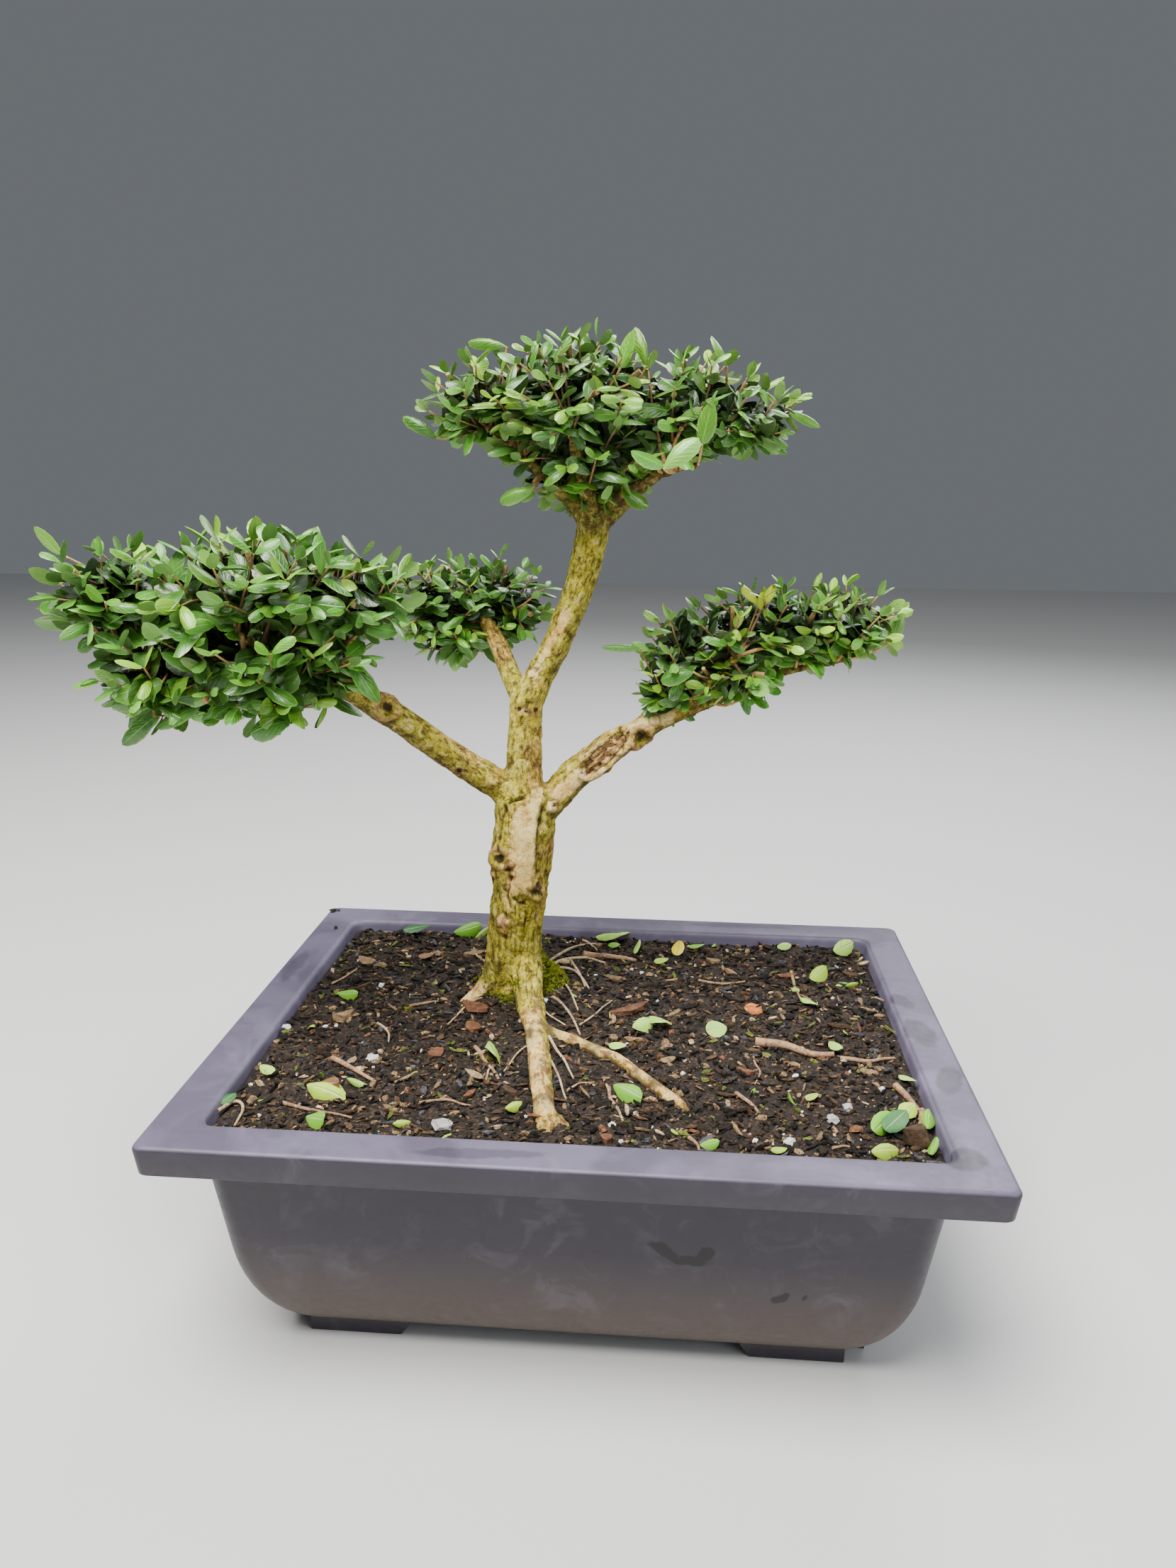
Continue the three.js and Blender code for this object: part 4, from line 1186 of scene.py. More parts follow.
def model_leaf(width, form):
    """One leaf, a unit long along +X with its upper face to +Z, thick at its middle only."""
    curl, hang, twist, widest = form
    bpy.ops.mesh.primitive_grid_add(
        x_subdivisions=LEAF_SEGMENTS[0], y_subdivisions=LEAF_SEGMENTS[1], size=1)
    leaf = bpy.context.object
    for point in leaf.data.vertices:
        share, side = point.co.x + 0.5, 2 * point.co.y
        along = 0.5 - 0.5 * math.cos(math.pi * share)
        swell = math.sin(math.pi * along ** (math.log(0.5) / math.log(widest)))
        half = 0.5 * width * max(0.0, swell) ** 0.56 + 0.03 * (1 - along) ** 5
        rib = RIB_DEPTH * (1 - abs(side) * 2) if abs(side) < 0.5 else 0.0
        lift = hang * (0.55 * along - 1.25 * along ** 2) - half * (curl * abs(side) ** 2 + rib)
        point.co = (along, side * half, lift + twist * side * half * along * 4)
    leaf.data.attributes.new("below", 'FLOAT', 'FACE')
    edit_all()
    bpy.ops.mesh.duplicate()
    bpy.ops.mesh.flip_normals()
    mesh = bmesh.from_edit_mesh(leaf.data)
    underside = mesh.faces.layers.float["below"]
    for face in mesh.faces:
        if face.select:
            face[underside] = 1.0
    for point in mesh.verts:
        if point.select and not point.is_boundary:
            point.co.z -= LEAF_THICKNESS
    bpy.ops.mesh.select_all(action='SELECT')
    bpy.ops.mesh.remove_doubles(threshold=1e-5)
    bpy.ops.object.mode_set(mode='OBJECT')
    smooth_but_edges(leaf, 60)
    return leaf


def random_direction(draw):
    """A direction that points anywhere, all equally likely."""
    while True:
        vector = Vector(draw.uniform(-1, 1) for _ in range(3))
        if 0.05 < vector.length < 1:
            return vector.normalized()


def leaf_matrix(foot, heading, facing, length, width=1.0):
    """Places a unit leaf with its foot, its heading and its upper face's direction."""
    heading = heading.normalized()
    facing = (facing - heading * facing.dot(heading)).normalized()
    turn = Matrix((heading, facing.cross(heading), facing)).transposed().to_4x4()
    return Matrix.Translation(foot) @ turn @ Matrix.Diagonal((length, length * width, length, 1))


def shoot_tips(pad, draw, depth, spacing):
    """Tips spread over the pad at a share of its size, each with the direction outwards."""
    lobes = [(Vector(middle), Vector(half)) for middle, half in pad["lobes"]]
    areas = [half.x * half.y + half.y * half.z + half.x * half.z for _, half in lobes]
    tips = []
    for _ in range(SHOOT_TRIES):
        middle, half = draw.choices(lobes, areas)[0]
        ray = random_direction(draw)
        size = half * (depth + draw.uniform(-0.07, 0.04))
        outward = Vector(a / b for a, b in zip(ray, size))
        place = middle + Vector(a * b for a, b in zip(ray, size))
        if draw.random() > outward.length * min(size):
            continue
        covered = any(
            Vector((place - other)[i] / reach[i] for i in range(3)).length < depth - 0.06
            for other, reach in lobes if other != middle)
        if covered or any((place - tip).length < spacing for tip, _ in tips):
            continue
        tips.append((place, outward.normalized()))
    return tips


def nearest_on_arms(arms, place):
    """The point of the pad's arms that lies nearest to a place."""
    best = None
    for arm in arms:
        for start, end in zip(arm, arm[1:]):
            start, end = Vector(start), Vector(end)
            along = end - start
            share = min(1.0, max(0.0, (place - start).dot(along) / along.length_squared))
            found = start + along * share
            if best is None or (found - place).length < (best - place).length:
                best = found
    return best


def bent_path(start, knee, end, steps=8):
    """Points of a smooth bend that leaves start towards knee and arrives from it."""
    shares = [i / (steps - 1) for i in range(steps)]
    return [start * (1 - t) ** 2 + knee * (2 * t * (1 - t)) + end * t ** 2 for t in shares]


def painted_light_in_pad(pad, place):
    """How light the leaves and twigs are coloured at a place: full at the pad's outside, dark
    within. The darkening is painted shade and in part the darker older leaves inside; the pad's
    light factor is painted light.
    """
    inside = max(1 - Vector((a - b) / c for a, b, c in zip(place, middle, half)).length
                 for middle, half in pad["lobes"])
    return pad["light"] * min(1.35, max(0.2, 1.45 - 2.6 * inside))


def leaves_on(path, outward, draw, pad, leafy, density=0.88):
    """Opposite pairs of leaves back from the tip of a shoot: (matrix in mm, young, light)."""
    lengths = [(b - a).length for a, b in zip(path, path[1:])]
    total = sum(lengths)
    spin = draw.uniform(0, math.tau)
    from_tip = 0.2
    young = max(0.0, draw.gauss(pad["young"], 0.33))
    made = []
    pair = 0
    while from_tip < min(leafy, total - 1):
        remaining = total - from_tip
        step = 0
        while step < len(lengths) - 1 and remaining > lengths[step]:
            remaining -= lengths[step]
            step += 1
        foot = path[step].lerp(path[step + 1], min(1.0, remaining / lengths[step]))
        ahead = (path[step + 1] - path[step]).normalized()
        level = ahead.cross(UP)
        side = (level if level.length > 0.45 else ahead.orthogonal()).normalized()
        crossed = level.length < 0.8 and pair % 2
        turned = spin if level.length < 0.45 else 0.0
        turned += math.pi / 2 * crossed + math.radians(draw.uniform(-32, 32))
        side = Matrix.Rotation(turned, 3, ahead) @ side
        for sign in (1, -1):
            if pair and draw.random() > density:
                continue
            spread = math.radians(draw.uniform(14, 42) if pair == 0 else draw.uniform(38, 78))
            heading = ahead * math.cos(spread) + side * sign * math.sin(spread)
            inner = ahead * math.sin(spread) - side * sign * math.cos(spread)
            facing = inner * 0.6 + UP * 0.75 + outward * 0.45 + random_direction(draw) * 0.4
            size = draw.uniform(*pad["leaf"]) * min(1.0, 0.62 + 0.16 * pair)
            width = draw.uniform(0.70, 1.12)
            matrix = leaf_matrix(foot + heading * 0.6, heading, facing, size, width)
            light = painted_light_in_pad(pad, foot + heading * size * 0.6)
            made.append((matrix, max(0.0, young - 0.12 * pair), light))
        pair += 1
        from_tip += draw.uniform(3.4, 5.6) * pad["leaf"][1] / 16 + 0.8
    return made


def leafy_shoot(pad, draw, middle, tip, outward, twig_radius, leafy):
    """A shoot that bends out of the nearest limb to its tip: its leaves and its twig."""
    away = tip - middle
    away.z = 0
    course = outward * 0.7 + UP * 0.4 + away.normalized() * 0.35 + random_direction(draw) * 0.5
    knee = tip - course.normalized() * draw.uniform(17, 26)
    start = nearest_on_arms(pad["arms"], knee - outward * 6)
    path = bent_path(start, knee, tip)
    leaves = leaves_on(path, outward, draw, pad, leafy * draw.uniform(0.75, 1.05))
    foot = twig_radius * (0.75 + 0.012 * (tip - start).length)
    last = len(path) - 1
    twig = [(point, foot + (TWIG_TIP - foot) * i / last) for i, point in enumerate(path)]
    return leaves, twig


def bare_shoot(pad, draw, tip, outward):
    """A thicker shoot without leaves, which shows between them."""
    start = nearest_on_arms(pad["arms"], tip - outward * 24)
    knee = tip - outward * 12 + random_direction(draw) * 4
    thick = draw.uniform(0.8, 1.45)
    return [(point, thick) for point in bent_path(start, knee, tip)]


def grow_pad(name, pad, twig_radius):
    """The leaves and the twigs of a pad, in millimetres."""
    draw = random.Random(pad["seed"])
    middle = Vector(pad["lobes"][0][0])
    leaves, twigs = [], []
    for depth, wider, leafy in SHOOT_LAYERS:
        for tip, outward in shoot_tips(pad, draw, depth, pad["spacing"] * wider):
            grown, twig = leafy_shoot(pad, draw, middle, tip, outward, twig_radius, leafy)
            leaves += grown
            twigs.append(twig)
        if depth == SHOOT_LAYERS[0][0]:
            twigs += [bare_shoot(pad, draw, tip, outward)
                      for tip, outward in shoot_tips(pad, draw, 0.8, 2.6 * pad["spacing"])]
    for foot, tip, width, young in LONE_LEAVES[name]:
        foot, tip = Vector(foot), Vector(tip)
        facing = UP * 0.5 + Vector((0, -1, 0.3)) + random_direction(draw) * 0.2
        matrix = leaf_matrix(foot, tip - foot, facing, 0.9 * (tip - foot).length, 1.6 * width)
        leaves.append((matrix, young, 1.0))
        start = nearest_on_arms(pad["arms"], foot)
        stalk = bent_path(start, foot.lerp(start, 0.4) - UP * 2, foot)
        twigs.append([(point, LONE_STALK) for point in stalk])
    return leaves, twigs


def tube_piece(lines, sides_level=1):
    """Round tubes along lines of (point in mm, radius in mm), closed at their ends."""
    curve = bpy.data.curves.new("twigs", 'CURVE')
    curve.dimensions = '3D'
    curve.bevel_depth = MM
    curve.bevel_resolution = sides_level
    curve.use_fill_caps = True
    for line in lines:
        spline = curve.splines.new('POLY')
        spline.points.add(len(line) - 1)
        for target, (point, radius) in zip(spline.points, line):
            target.co = (*at(point), 1)
            target.radius = radius
    tubes = bpy.data.objects.new("twigs", curve)
    bpy.context.collection.objects.link(tubes)
    pick(tubes)
    bpy.ops.object.convert(target='MESH')
    bpy.ops.object.shade_smooth()
    return bpy.context.object


def leaf_place(tree):
    """How far along a leaf, and how far off its midrib."""
    unwrapped = node(tree, "UVMap").outputs["UV"]
    off_rib = unsigned(tree, less(tree, part_of(tree, unwrapped, 1), 0.5))
    return part_of(tree, unwrapped, 0), off_rib


def leaf_material(foliage):
    """Glossy leaves with a pale midrib, faint side veins, an edge of painted rim light, a dull,
    paler underside, and painted shade deep in a pad.
    """
    material, tree, shader = new_material("leaf")
    tint = node(tree, "SeparateColor", {"Color": attribute(tree, "tint", "Color")})
    young, light, chance = tint.outputs
    below = attribute(tree, "below")
    along, off_rib = leaf_place(tree)
    rib = ramp(tree, off_rib, 0.06, 0.0)
    edge = ramp(tree, off_rib, 0.40, 0.5)
    slanted = less(tree, along, times(tree, off_rib, 0.55))
    veins = wave(tree, times(tree, slanted, 56.0))
    veins = times(tree, ramp(tree, veins, 0.55, 1.0), ramp(tree, off_rib, 0.02, 0.1))
    mottle = noise_of(tree, object_place(tree), 420, 3)

    grown = mix(tree, ramp(tree, chance, 0.0, 0.6), toned(foliage.leaf, 0.55), foliage.leaf)
    grown = lay(tree, grown,
                (chance, 0.70, 1.00, 1.0, GREY_GREEN),
                (mottle, 0.45, 0.75, 0.5, toned(foliage.leaf, 1.5)))
    colour = mix(tree, young, grown, foliage.young_leaf)
    colour = lay(tree, colour, (young, 1.05, 1.25, 1.0, YELLOW))
    # The leaf's paler edge is painted rim light
    for mark, most, tone in ((veins, 0.16, VEIN), (rib, 0.45, RIB), (edge, 0.5, PAINTED_RIM_LIGHT),
                             (below, 0.7, UNDERSIDE)):
        colour = mix(tree, times(tree, mark, most), colour, tone)
    rough = plus(tree, ramp(tree, mottle, 0.3, 0.7, 0.27, 0.40), times(tree, below, 0.3))
    height = less(tree, times(tree, mottle, 0.5), plus(tree, rib, times(tree, veins, 0.5)))
    relief = bump(tree, height, 0.3 * MM, 0.6)
    # Painted shade: the tint's light darkens leaves deep in a pad
    connect(tree, shader, Base_Color=shaded(tree, colour, light), Roughness=rough, Normal=relief,
            Specular_IOR_Level=0.6, Coat_Weight=0.35, Coat_Roughness=0.2)
    return material


def thin_bark_material(name, dark, pale, in_pad=False):
    """Thin bark between two tones, with paler scars and flakes, and painted shade deep in a pad."""
    material, tree, shader = new_material(name)
    place = object_place(tree)
    patch = noise_of(tree, place, 140, 4, 0.6)
    fleck = noise_of(tree, place, 900, 3)
    colour = mix(tree, ramp(tree, patch, 0.35, 0.62), dark, pale)
    colour = lay(tree, colour,
                 (fleck, 0.56, 0.72, 1.0, toned(pale, 1.5)),
                 (fleck, 0.42, 0.32, 1.0, toned(dark, 0.5)))
    if in_pad:
        # Painted shade: darker deep in the pad
        colour = shaded(tree, colour, attribute(tree, "light"))
    relief = bump(tree, fleck, 0.3 * MM, 0.8)
    connect(tree, shader, Base_Color=colour, Roughness=0.72, Normal=relief)
    return material


class BONSAI_OT_foliage(bpy.types.Operator):
    """Grows the twigs and the leaves of one pad"""
    bl_idname = "bonsai.foliage"
    bl_label = "Foliage pad"

    pad: StringProperty(name="Pad", description="Which pad to grow", default="top")

    def execute(self, context):
        foliage = context.scene.bonsai_foliage
        pad = PADS[self.pad]
        leaves, twigs = grow_pad(self.pad, pad, foliage.twig_radius / MM)
        draw = random.Random(self.pad)
        patterns = [model_leaf(foliage.leaf_width, form) for form in LEAF_FORMS]
        to_frame = Matrix.Translation(POT_MIDDLE) @ Matrix.Scale(MM, 4)
        places = [(draw.randrange(len(patterns)), to_frame @ matrix) for matrix, *_ in leaves]
        # The tint's light: painted shade within the pad, varied at random
        tints = [(young, light * draw.uniform(0.78, 1.2), draw.random(), 1)
                 for _, young, light in leaves]
        blades = scatter(patterns, places, tints)
        discard(patterns)
        leaf = bpy.data.materials.get("leaf") or leaf_material(foliage)
        dress(blades, "leaves_" + self.pad, leaf, ["foliage_" + self.pad])

        stems = tube_piece(twigs)
        # Painted shade for the twigs deep in the pad
        paint(stems.data, "light",
              [painted_light_in_pad(pad, point) for point in in_mm(coordinates(stems.data))])
        twig = bpy.data.materials.get("twig") or thin_bark_material(
            "twig", toned(foliage.twig, 0.5), foliage.twig, True)
        dress(stems, "twigs_" + self.pad, twig)
        return {'FINISHED'}


# The soil and what lies on it

SOIL_MIDDLE = (SOIL_LOW + SOIL_HIGH) / 2
TRUNK_FOOT = Vector((-38, 32))
TRUNK_REACH = 12.5
SKY_HEIGHT = 160 * MM
SOIL_MARGIN = 2 * MM

# Colours of crumbs and chips, and how often each comes up among the crumbs
SOIL_TONES = {
    "black": ((0.006, 0.0045, 0.003), 30),
    "peat": ((0.020, 0.013, 0.008), 28),
    "umber": ((0.058, 0.033, 0.017), 21),
    "russet": ((0.130, 0.056, 0.027), 5),
    "slate": ((0.046, 0.044, 0.050), 8),
    "tan": ((0.210, 0.135, 0.066), 12),
    "straw": ((0.400, 0.290, 0.160), 4),
    "moss": ((0.100, 0.120, 0.020), 4),
}

LEAF_TONES = {
    "pale": (0.38, 0.64, 0.10), "bright": (0.16, 0.42, 0.02), "dark": (0.028, 0.14, 0.03),
    "lime": (0.37, 0.56, 0.035), "gold": (0.80, 0.66, 0.003), "rust": (0.50, 0.15, 0.035),
    "brown": (0.22, 0.10, 0.04),
}

# Tones of peat, near-black painted shade in its hollows and paler on its crests, of grit, and of
# blotches and ribs on old leaves
PAINTED_HOLLOW_SHADE, PALE_CREST = (0.004, 0.003, 0.002), (0.17, 0.105, 0.055)
GRIT_TONE = (0.78, 0.74, 0.66)
BLOTCH, OLD_RIB = (0.20, 0.10, 0.03), (0.55, 0.60, 0.30)

# Fallen leaves: foot, tip, width over length, tone, how high the tip lies over the soil
FALLEN_LEAVES = (
    ((-106, 95), (-92, 99), 0.52, "dark", 3), ((-79, 94), (-65, 97), 0.50, "bright", 4),
    ((-67, 90), (-60, 93), 0.30, "pale", 5), ((-118, 15), (-108, 14), 0.44, "bright", 1),
    ((-41, -27), (-36, -41), 0.42, "pale", 4), ((-105, -71), (-90, -76), 0.62, "lime", 1),
    ((-103, -69), (-92, -72), 0.50, "brown", 4), ((-98, -94), (-90, -98), 0.75, "bright", 2),
    ((-66, -93), (-60, -90), 0.60, "lime", 1), ((-26, -80), (-20, -72), 0.58, "lime", 2),
    ((-134, -86), (-130, -79), 0.60, "dark", 1), ((-129, -56), (-122, -62), 0.50, "pale", 2),
    ((-92, -62), (-86, -67), 0.40, "pale", 3), ((-5, 95), (12, 98), 0.46, "pale", 5),
    ((2, 88), (8, 87), 0.60, "bright", 1), ((16, 78), (18, 85), 0.34, "pale", 6),
    ((37, 78), (38, 84), 0.80, "gold", 6), ((43, 89), (51, 92), 0.55, "bright", 2),
    ((26, 70), (33, 74), 0.50, "lime", 1), ((88, 93), (95, 93), 0.60, "pale", 2),
    ((116, 88), (126, 92), 0.70, "pale", 4), ((101, 54), (109, 62), 0.62, "lime", 4),
    ((94, 34), (101, 27), 0.52, "pale", 2), ((19, -9), (26, 2), 0.60, "pale", 3),
    ((25, 4), (31, -5), 0.56, "pale", 4), ((50, -6), (59, -3), 0.92, "pale", 1),
    ((9, -24), (16, -28), 0.50, "pale", 2), ((102, -10), (105, -19), 0.50, "pale", 3),
    ((13, -59), (23, -66), 0.66, "bright", 2), ((87, -61), (92, -57), 0.50, "lime", 1),
    ((117, 50), (125, 55), 0.34, "lime", 2), ((121, -72), (127, -66), 0.80, "lime", 3),
    ((126, -38), (131, -45), 0.44, "pale", 2), ((109, -84), (117, -75), 0.62, "bright", 3),
    ((113, -83), (122, -76), 0.66, "dark", 5), ((129, -80), (131, -70), 0.44, "bright", 5),
    ((106, -98), (116, -95), 0.60, "lime", 2), ((71, -98), (77, -96), 0.60, "lime", 1),
    ((46, -97), (53, -95), 0.50, "bright", 1), ((127, -96), (130, -88), 0.40, "bright", 4),
    ((-90, 60), (-83, 66), 0.50, "brown", 1), ((60, 66), (67, 61), 0.50, "brown", 1),
)

# How many small leaves are strewn among them
SMALL_LEAVES = 46

# Bark chips: one end, the other end, width, thickness, tone
CHIPS = (
    ((-65, -38), (-60, -31), 6, 2, "russet"), ((-59, 9), (-45, 1), 11, 2.4, "russet"),
    ((-54, -8), (-47, -16), 8, 2.2, "russet"), ((-113, -9), (-104, -4), 8, 4, "tan"),
    ((68, 26), (77, 20), 9, 1.6, "rust"), ((7, 6), (25, 20), 7, 2.6, "russet"),
    ((32, 9), (41, 21), 4, 1.8, "tan"), ((61, -36), (69, -40), 5, 2, "russet"),
    ((111, -34), (119, -37), 4, 1.6, "tan"), ((10, -94), (15, -94), 5, 3, "russet"),
    ((121, -90), (129, -82), 11, 8, "umber"), ((85, 60), (96, 63), 4, 2, "russet"),
    ((52, 78), (60, 76), 5, 2, "tan"), ((-70, 70), (-60, 74), 5, 2, "tan"),
    ((-120, 60), (-110, 55), 6, 3, "tan"), ((30, -34), (37, -30), 4, 2, "tan"),
    ((-30, -60), (-24, -66), 5, 2, "umber"), ((118, 70), (127, 66), 6, 2, "umber"),
)

# Stones: middle, size, brightness
STONES = (
    ((-87, -41), 5.5, 0.62), ((-48, -91), 7.4, 0.36), ((103, -62), 5.0, 0.42),
    ((14, -82), 3.6, 0.80), ((78, -91), 5.0, 0.66), ((96, -72), 5.2, 0.40),
    ((-101, 29), 3.0, 0.85), ((-115, -15), 2.6, 0.85), ((-132, -19), 4.2, 0.72),
    ((85, -40), 2.8, 0.85), ((66, -89), 2.6, 0.85), ((80, 62), 2.4, 0.80),
    ((20, 60), 2.4, 0.80), ((118, -48), 2.4, 0.85), ((-22, 14), 3.4, 0.62),
)

# Soil crumbs that lie on the rim: place and size
RIM_CRUMBS = (((-149.1, 114.4), 4.5), ((-146.4, 116.4), 2.4), ((-140.4, 90.2), 3.4))

# Seed of the noise that bends fallen twigs and rootlets
TWIG_SEED = 11

# Fallen twigs: radius at the thick end, then places along it
FALLEN_TWIGS = (
    (1.2, (-102, -45), (-93, -51), (-82, -59)), (0.8, (-111, -80), (-99, -85), (-84, -88)),
    (1.0, (-47, -28), (-40, -40), (-32, -54)), (0.8, (-84, 8), (-78, 10), (-70, 13)),
    (1.7, (-10, 72), (4, 75), (17, 71)), (0.8, (11, -57), (14, -69), (18, -79)),
    (0.9, (93, 66), (93, 50), (94, 36)), (1.1, (105, -23), (115, -26), (127, -19)),
    (2.1, (71, -14), (84, -16), (94, -20), (103, -21)), (1.5, (124, -46), (127, -57), (129, -64)),
    (1.3, (130, -64), (128, -74), (120, -85)), (0.5, (70, -25), (71, -35), (69, -47)),
    (0.8, (42, -90), (44, -93), (46, -97)), (0.6, (93, -93), (97, -91), (103, -91)),
    (0.9, (60, -55), (66, -62), (70, -73)), (0.7, (-60, -75), (-50, -72), (-41, -74)),
    (0.7, (48, 50), (60, 48), (70, 52)), (0.6, (-125, 30), (-120, 40), (-118, 52)),
)

# Thin roots that run over the soil: radius at the thick end, then places along it
ROOTLETS = (
    (0.95, (-31, 42), (-21, 62), (-8, 70), (2, 66)),
    (0.85, (-30, 40), (-18, 58), (-10, 48), (-3, 30)),
    (0.75, (-16, 63), (-12, 56), (-8, 44), (-5, 32)),
    (0.75, (-25, 30), (-14, 12), (-7, -1), (-3, -15)), (0.5, (-4, -3), (1, 6), (8, 21)),
    (0.7, (-18, -14), (-8, -38), (-3, -52)), (0.6, (-17, -26), (-8, -55), (-4, -68)),
    (0.5, (-4, -61), (0, -55), (5, -52)), (0.55, (10, -54), (13.6, -67), (18, -79)),
    (0.65, (-29, 52), (-19, 43), (-12, 27), (-7, 9)),
    (0.8, (-133, -89), (-131, -80), (-126, -82), (-123, -90), (-124, -97)),
    (0.6, (-92, -12), (-86, -18), (-84, -27)), (0.5, (-38, -56), (-38, -48), (-36, -44)),
    (0.7, (-12, 94), (-7, 91), (-3, 79)), (0.6, (-28, 22), (-22, 12), (-20, 2), (-12, -5)),
    (0.9, (-30, 48), (-20, 74), (-14, 86), (-4, 92)), (0.7, (-46, 46), (-60, 62), (-66, 78)),
    (0.5, (-22, -20), (-30, -34), (-31, -47)), (0.6, (-48, 24), (-58, 2), (-62, -10)),
)

# Moss: middle, reach across, how high it heaps up, number of tufts, length of a tuft. It lies
# on what a plumb line first meets, from a height that is under the limbs.
MOSS_SPOTS = (
    ((-21.5, 36), 8.5, 7.0, 620, 2.5), ((-25, 26), 5.5, 1.5, 190, 1.7),
    ((-45, 21), 7.0, 1.0, 230, 1.5), ((-53, 36), 6.5, 1.0, 160, 1.4),
    ((-37, 14), 6.5, 1.0, 210, 1.5), ((-44, 46), 7.0, 1.0, 160, 1.6),
    ((-40, -36), 5.0, 0.5, 90, 1.5), ((-84, 6), 4.0, 0.3, 50, 1.1),
)
MOSS_PLUMB = 112
FRESH_MOSS, OLD_MOSS = (0.25, 0.275, 0.016), (0.12, 0.17, 0.014)


def ground_under(thing, spot):
    """The place and the normal of the thing under a point, which is kept within the soil."""
    x = min(max(spot[0], SOIL_LOW.x + SOIL_MARGIN), SOIL_HIGH.x - SOIL_MARGIN)
    y = min(max(spot[1], SOIL_LOW.y + SOIL_MARGIN), SOIL_HIGH.y - SOIL_MARGIN)
    _, place, normal, _ = thing.ray_cast(Vector((x, y, SKY_HEIGHT)), Vector((0, 0, -1)))
    return place, normal


def model_soil_bed(soil):
    """A rough sheet over the packed soil, with its rim tucked down and its underside closed."""
    size = SOIL_HIGH - SOIL_LOW
    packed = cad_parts["soil"]
    columns, rows = round(size.x / soil.grain), round(size.y / soil.grain)
    bpy.ops.mesh.primitive_grid_add(x_subdivisions=columns, y_subdivisions=rows, size=1)
    bed = bpy.context.object
    points = coordinates(bed.data)
    rim = np.max(np.abs(points), axis=1) > 0.4999
    points = points * np.array(size) * 0.998 + np.array(SOIL_MIDDLE)
    found = [ground_under(packed, point) for point in points]
    points[:, 2] = [place.z for place, _ in found]
    flat = in_mm(points) * (1, 1, 0)
    lumps = 0.9 * fractal(flat, 21) + 0.7 * fractal(flat + 40, 7) + 0.9 * fractal(flat + 90, 3.1, 2)
    points[:, 2] += (np.clip(1.3 + lumps, 0.2, 3.2) - 5.5 * rim) * MM
    set_coordinates(bed.data, points)
    edit_all()
    bpy.ops.mesh.region_to_loop()
    bpy.ops.mesh.edge_face_add()
    bpy.ops.object.mode_set(mode='OBJECT')
    bpy.ops.object.shade_smooth()
    return bed


def model_lump(draw, level, flatness):
    """A broken crumb a unit across, with flat faces."""
    bpy.ops.mesh.primitive_ico_sphere_add(subdivisions=level, radius=0.5)
    lump = bpy.context.object
    for point in lump.data.vertices:
        point.co *= draw.uniform(0.55, 1.15)
        point.co.z *= flatness
    return lump


def model_chip(draw, corners=8, eased=True):
    """A torn flake a unit long along X, with an uneven outline and a bend."""
    bpy.ops.mesh.primitive_cylinder_add(vertices=corners, radius=0.5, depth=1)
    chip = bpy.context.object
    for point in chip.data.vertices:
        jitter = draw.uniform(0.72, 1.1)
        point.co.x *= jitter
        point.co.y *= jitter * draw.uniform(0.8, 1.1)
        point.co.z = point.co.z * draw.uniform(0.6, 1.1) + 1.2 * point.co.x ** 2
    if eased:
        finish_modifier(chip, 'BEVEL', width=0.04, segments=1)
    return chip


def random_turn(draw, tilt=180):
    """A turn about the vertical with a lean of up to the given degrees."""
    lean = Matrix.Rotation(math.radians(draw.uniform(-tilt, tilt)), 4, 'X')
    return Matrix.Rotation(draw.uniform(0, math.tau), 4, 'Z') @ lean


def random_spot(draw, margin=1.5):
    """A place on the soil, clear of the trunk."""
    half = (SOIL_HIGH - SOIL_LOW) / 2 / MM
    while True:
        x = draw.uniform(margin - half.x, half.x - margin)
        y = draw.uniform(margin - half.y, half.y - margin)
        if (Vector((x, y)) - TRUNK_FOOT).length > TRUNK_REACH:
            return at((x, y, 0))


def varied(draw, colour, spread):
    """A colour made lighter or darker by up to the spread, with its alpha."""
    return (*toned(colour, draw.uniform(1 - spread, 1 + spread)), 1)


def strew(bed, draw, patterns, count, size_of, stretch, tilt, sink):
    """Strews copies over the bed: their places and tints. Sizes are in millimetres."""
    names = list(SOIL_TONES)
    weights = [SOIL_TONES[name][1] for name in names]
    places, tints = [], []
    for _ in range(count):
        spot = random_spot(draw)
        ground, normal = ground_under(bed, spot)
        size = size_of() * MM
        shape = Matrix.Diagonal((*(size * draw.uniform(low, high) for low, high in stretch), 1))
        matrix = Matrix.Translation(ground + normal * size * sink) @ random_turn(draw, tilt) @ shape
        places.append((draw.randrange(len(patterns)), matrix))
        tints.append(varied(draw, SOIL_TONES[draw.choices(names, weights)[0]][0], 0.4))
    return places, tints


def soil_material(soil):
    """Moist peat between the crumbs, with near-black painted shade in its hollows."""
    material, tree, shader = new_material("peat")
    place = object_place(tree)
    fine = noise_of(tree, place, 620, 6, 0.75)
    patch = noise_of(tree, place, 90, 4, 0.6)
    darker, lighter = toned(soil.crumb, 0.4), toned(soil.crumb, 1.2)
    colour = mix(tree, ramp(tree, patch, 0.38, 0.62), darker, lighter)
    # Painted shade: near black in the relief's hollows; paler on its crests
    colour = lay(tree, colour,
                 (fine, 0.48, 0.40, 1.0, PAINTED_HOLLOW_SHADE),
                 (fine, 0.55, 0.66, 1.0, PALE_CREST))
    relief = bump(tree, fine, 1.2 * MM, 1.0)
    connect(tree, shader, Base_Color=colour, Roughness=ramp(tree, fine, 0.3, 0.7, 0.6, 0.95),
            Normal=relief, Specular_IOR_Level=0.3)
    return material


